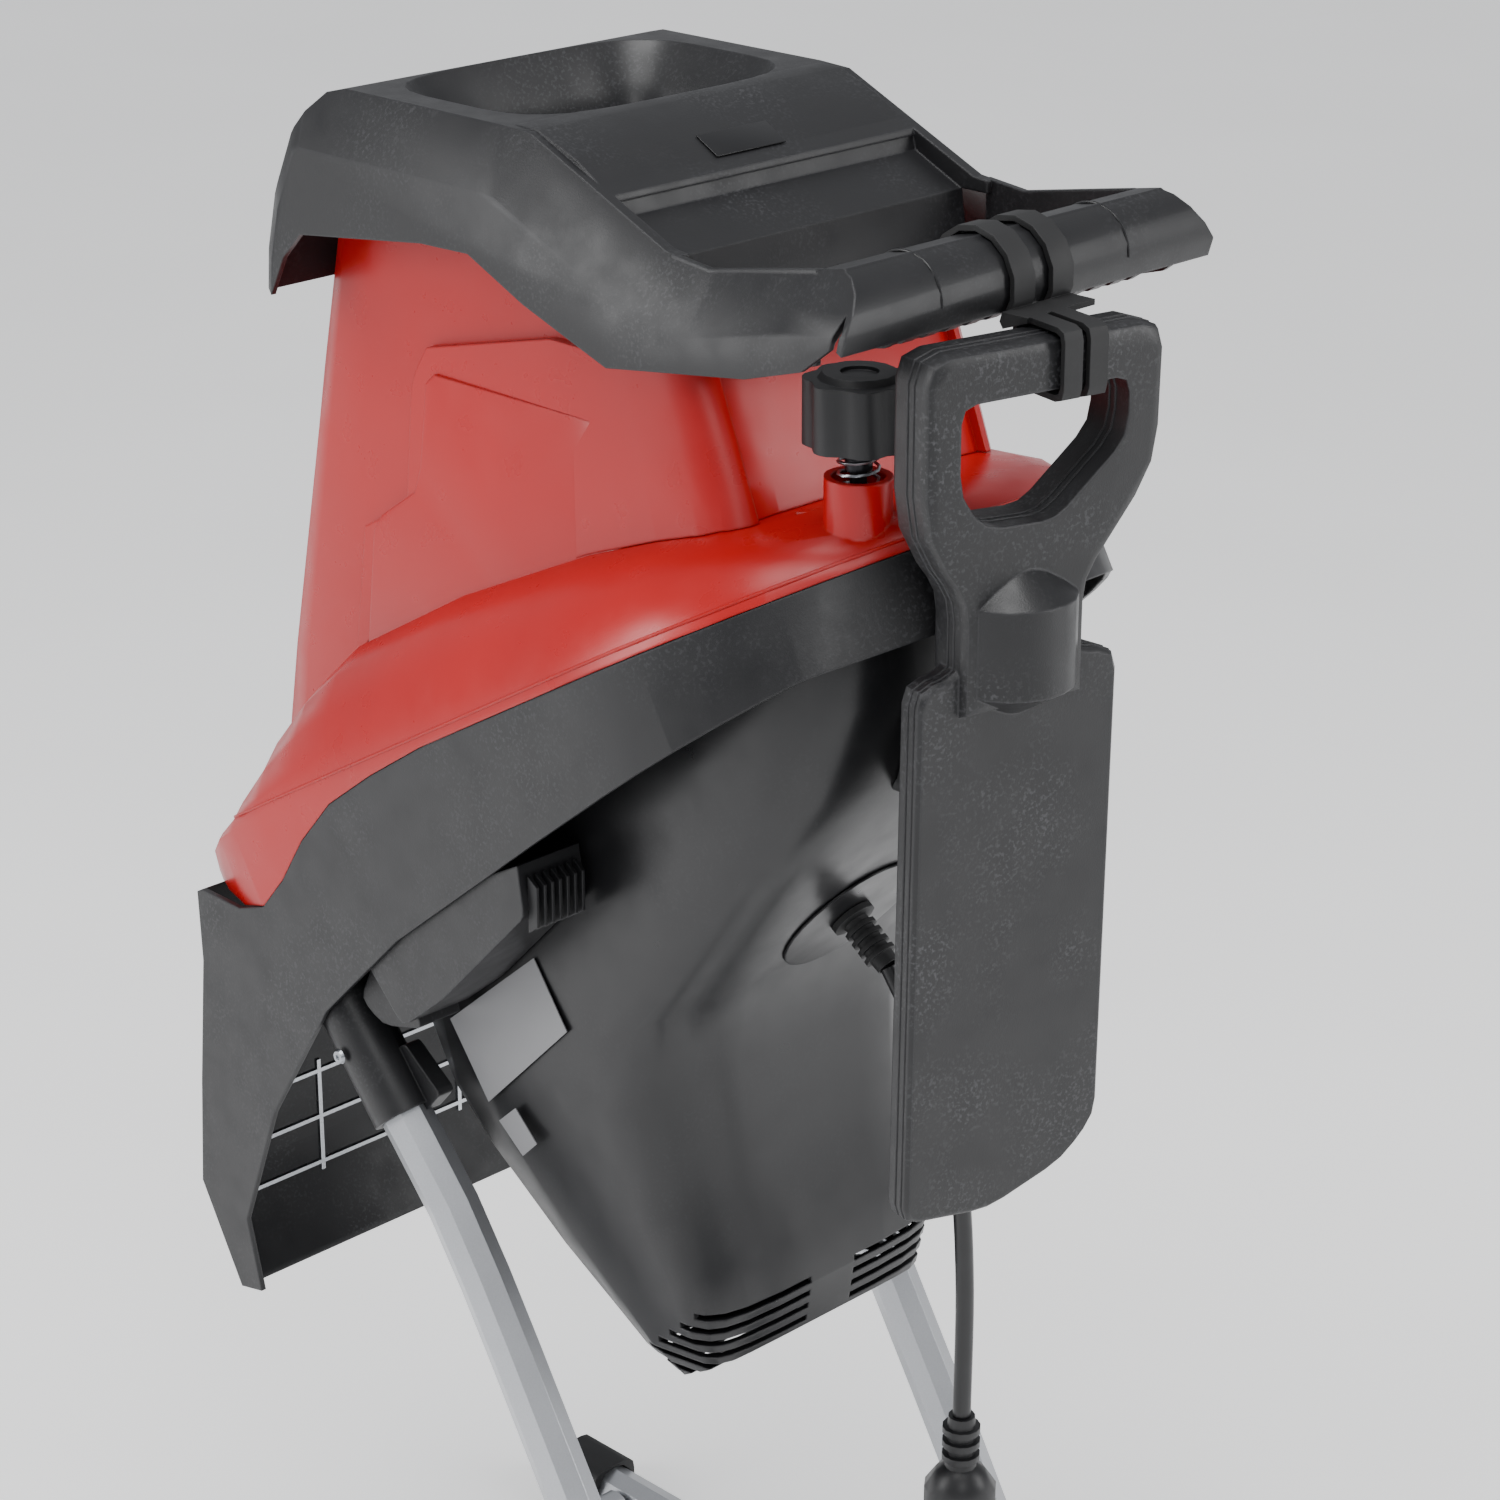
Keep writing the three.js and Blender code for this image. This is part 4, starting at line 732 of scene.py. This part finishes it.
class SHREDDER_OT_stage(Step):
    """Pale floor, soft studio light and the camera"""
    bl_idname = "shredder.stage"
    bl_label = "Stage"

    def execute(self, context):
        scene = context.scene

        def sweep(grown):
            bmesh.ops.create_grid(grown, x_segments=24, y_segments=24, size=6.0)
        mesh = mesh_from("floor", sweep)
        floor = bpy.data.objects.new("floor", mesh)
        scene.collection.objects.link(floor)
        paint, tree, shader, place = start_material("floor_matt_white_paint")
        tone = ramp(tree, noise(tree, place, 400, 2.0), (0.3, linear("#f1f1f1")), (0.7, linear("#f6f6f6")))
        tree.links.new(tone, shader.inputs["Base Color"])
        shader.inputs["Roughness"].default_value = 0.7
        shader.inputs["Emission Color"].default_value = linear("#ffffff")
        shader.inputs["Emission Strength"].default_value = 0.5
        mesh.materials.append(paint)

        world = bpy.data.worlds.new("studio")
        scene.world = world
        world.use_nodes = True
        tree = world.node_tree
        soft = tree.nodes["Background"]
        soft.inputs["Color"].default_value = linear("#f4f6fa")
        soft.inputs["Strength"].default_value = 0.5
        page = add(tree, "ShaderNodeBackground", Color=linear("#fdfdfd"), Strength=1.0)
        seen = add(tree, "ShaderNodeLightPath").outputs["Is Camera Ray"]
        both = add(tree, "ShaderNodeMixShader", i0=seen, i1=soft.outputs[0], i2=page.outputs[0])
        tree.links.new(both.outputs[0], tree.nodes["World Output"].inputs["Surface"])
        lamps = (("overhead", (0.5, 0.3, 2.7), (1.6, 1.2), 42), ("left_soft", (2.3, -1.5, 1.4), (0.9, 1.6), 34),
                 ("right_soft", (-1.5, 2.4, 1.5), (0.8, 1.8), 34), ("front_fill", (1.9, 2.1, 2.2), (0.9, 0.9), 14))
        for name, spot, size, power in lamps:
            data = bpy.data.lights.new(name, "AREA")
            data.shape, data.size, data.size_y, data.energy = "RECTANGLE", size[0], size[1], power
            lamp = bpy.data.objects.new(name, data)
            scene.collection.objects.link(lamp)
            lamp.location = spot
            lamp.rotation_mode = "QUATERNION"
            lamp.rotation_quaternion = (Vector((0, 0, 0.6)) - Vector(spot)).to_track_quat("-Z", "Y")

        azimuth, elevation = math.radians(135.07), math.radians(21.9)
        back = Vector((math.sin(azimuth) * math.cos(elevation), -math.cos(azimuth) * math.cos(elevation),
                       math.sin(elevation)))
        camera = bpy.data.cameras.new("camera")
        camera.lens, camera.sensor_width = scene.shredder_sizes.lens, 36.0
        eye = bpy.data.objects.new("camera", camera)
        scene.collection.objects.link(eye)
        eye.location = (1.22209, 1.25404, 1.32197)
        eye.rotation_mode = "QUATERNION"
        eye.rotation_quaternion = (-back).to_track_quat("-Z", "Y")
        scene.camera = eye
        return {"FINISHED"}


STEPS = (SHREDDER_OT_hopper, SHREDDER_OT_tower, SHREDDER_OT_body, SHREDDER_OT_motor_housing, SHREDDER_OT_stand,
         SHREDDER_OT_wheels, SHREDDER_OT_lock, SHREDDER_OT_pusher, SHREDDER_OT_lead, SHREDDER_OT_cutting_set,
         SHREDDER_OT_stage)


class SHREDDER_PT_panel(bpy.types.Panel):
    """Lists the shredder's steps and settings"""
    bl_idname = "SHREDDER_PT_panel"
    bl_label = "Garden shredder"
    bl_space_type = "VIEW_3D"
    bl_region_type = "UI"
    bl_category = "Shredder"

    def draw(self, context):
        for group in (context.scene.shredder_colours, context.scene.shredder_sizes):
            for key in group.__annotations__:
                self.layout.prop(group, key)
        for step in STEPS:
            self.layout.operator(step.bl_idname)


CLASSES = (ShredderColours, ShredderSizes, *STEPS, SHREDDER_PT_panel)


def register():
    for kind in CLASSES:
        bpy.utils.register_class(kind)
    bpy.types.Scene.shredder_colours = bpy.props.PointerProperty(type=ShredderColours)
    bpy.types.Scene.shredder_sizes = bpy.props.PointerProperty(type=ShredderSizes)


def unregister():
    del bpy.types.Scene.shredder_colours
    del bpy.types.Scene.shredder_sizes
    for kind in reversed(CLASSES):
        bpy.utils.unregister_class(kind)


def main():
    register()
    for step in STEPS:
        getattr(bpy.ops.shredder, step.bl_idname.split(".")[1])()


if __name__ == "__main__":
    main()
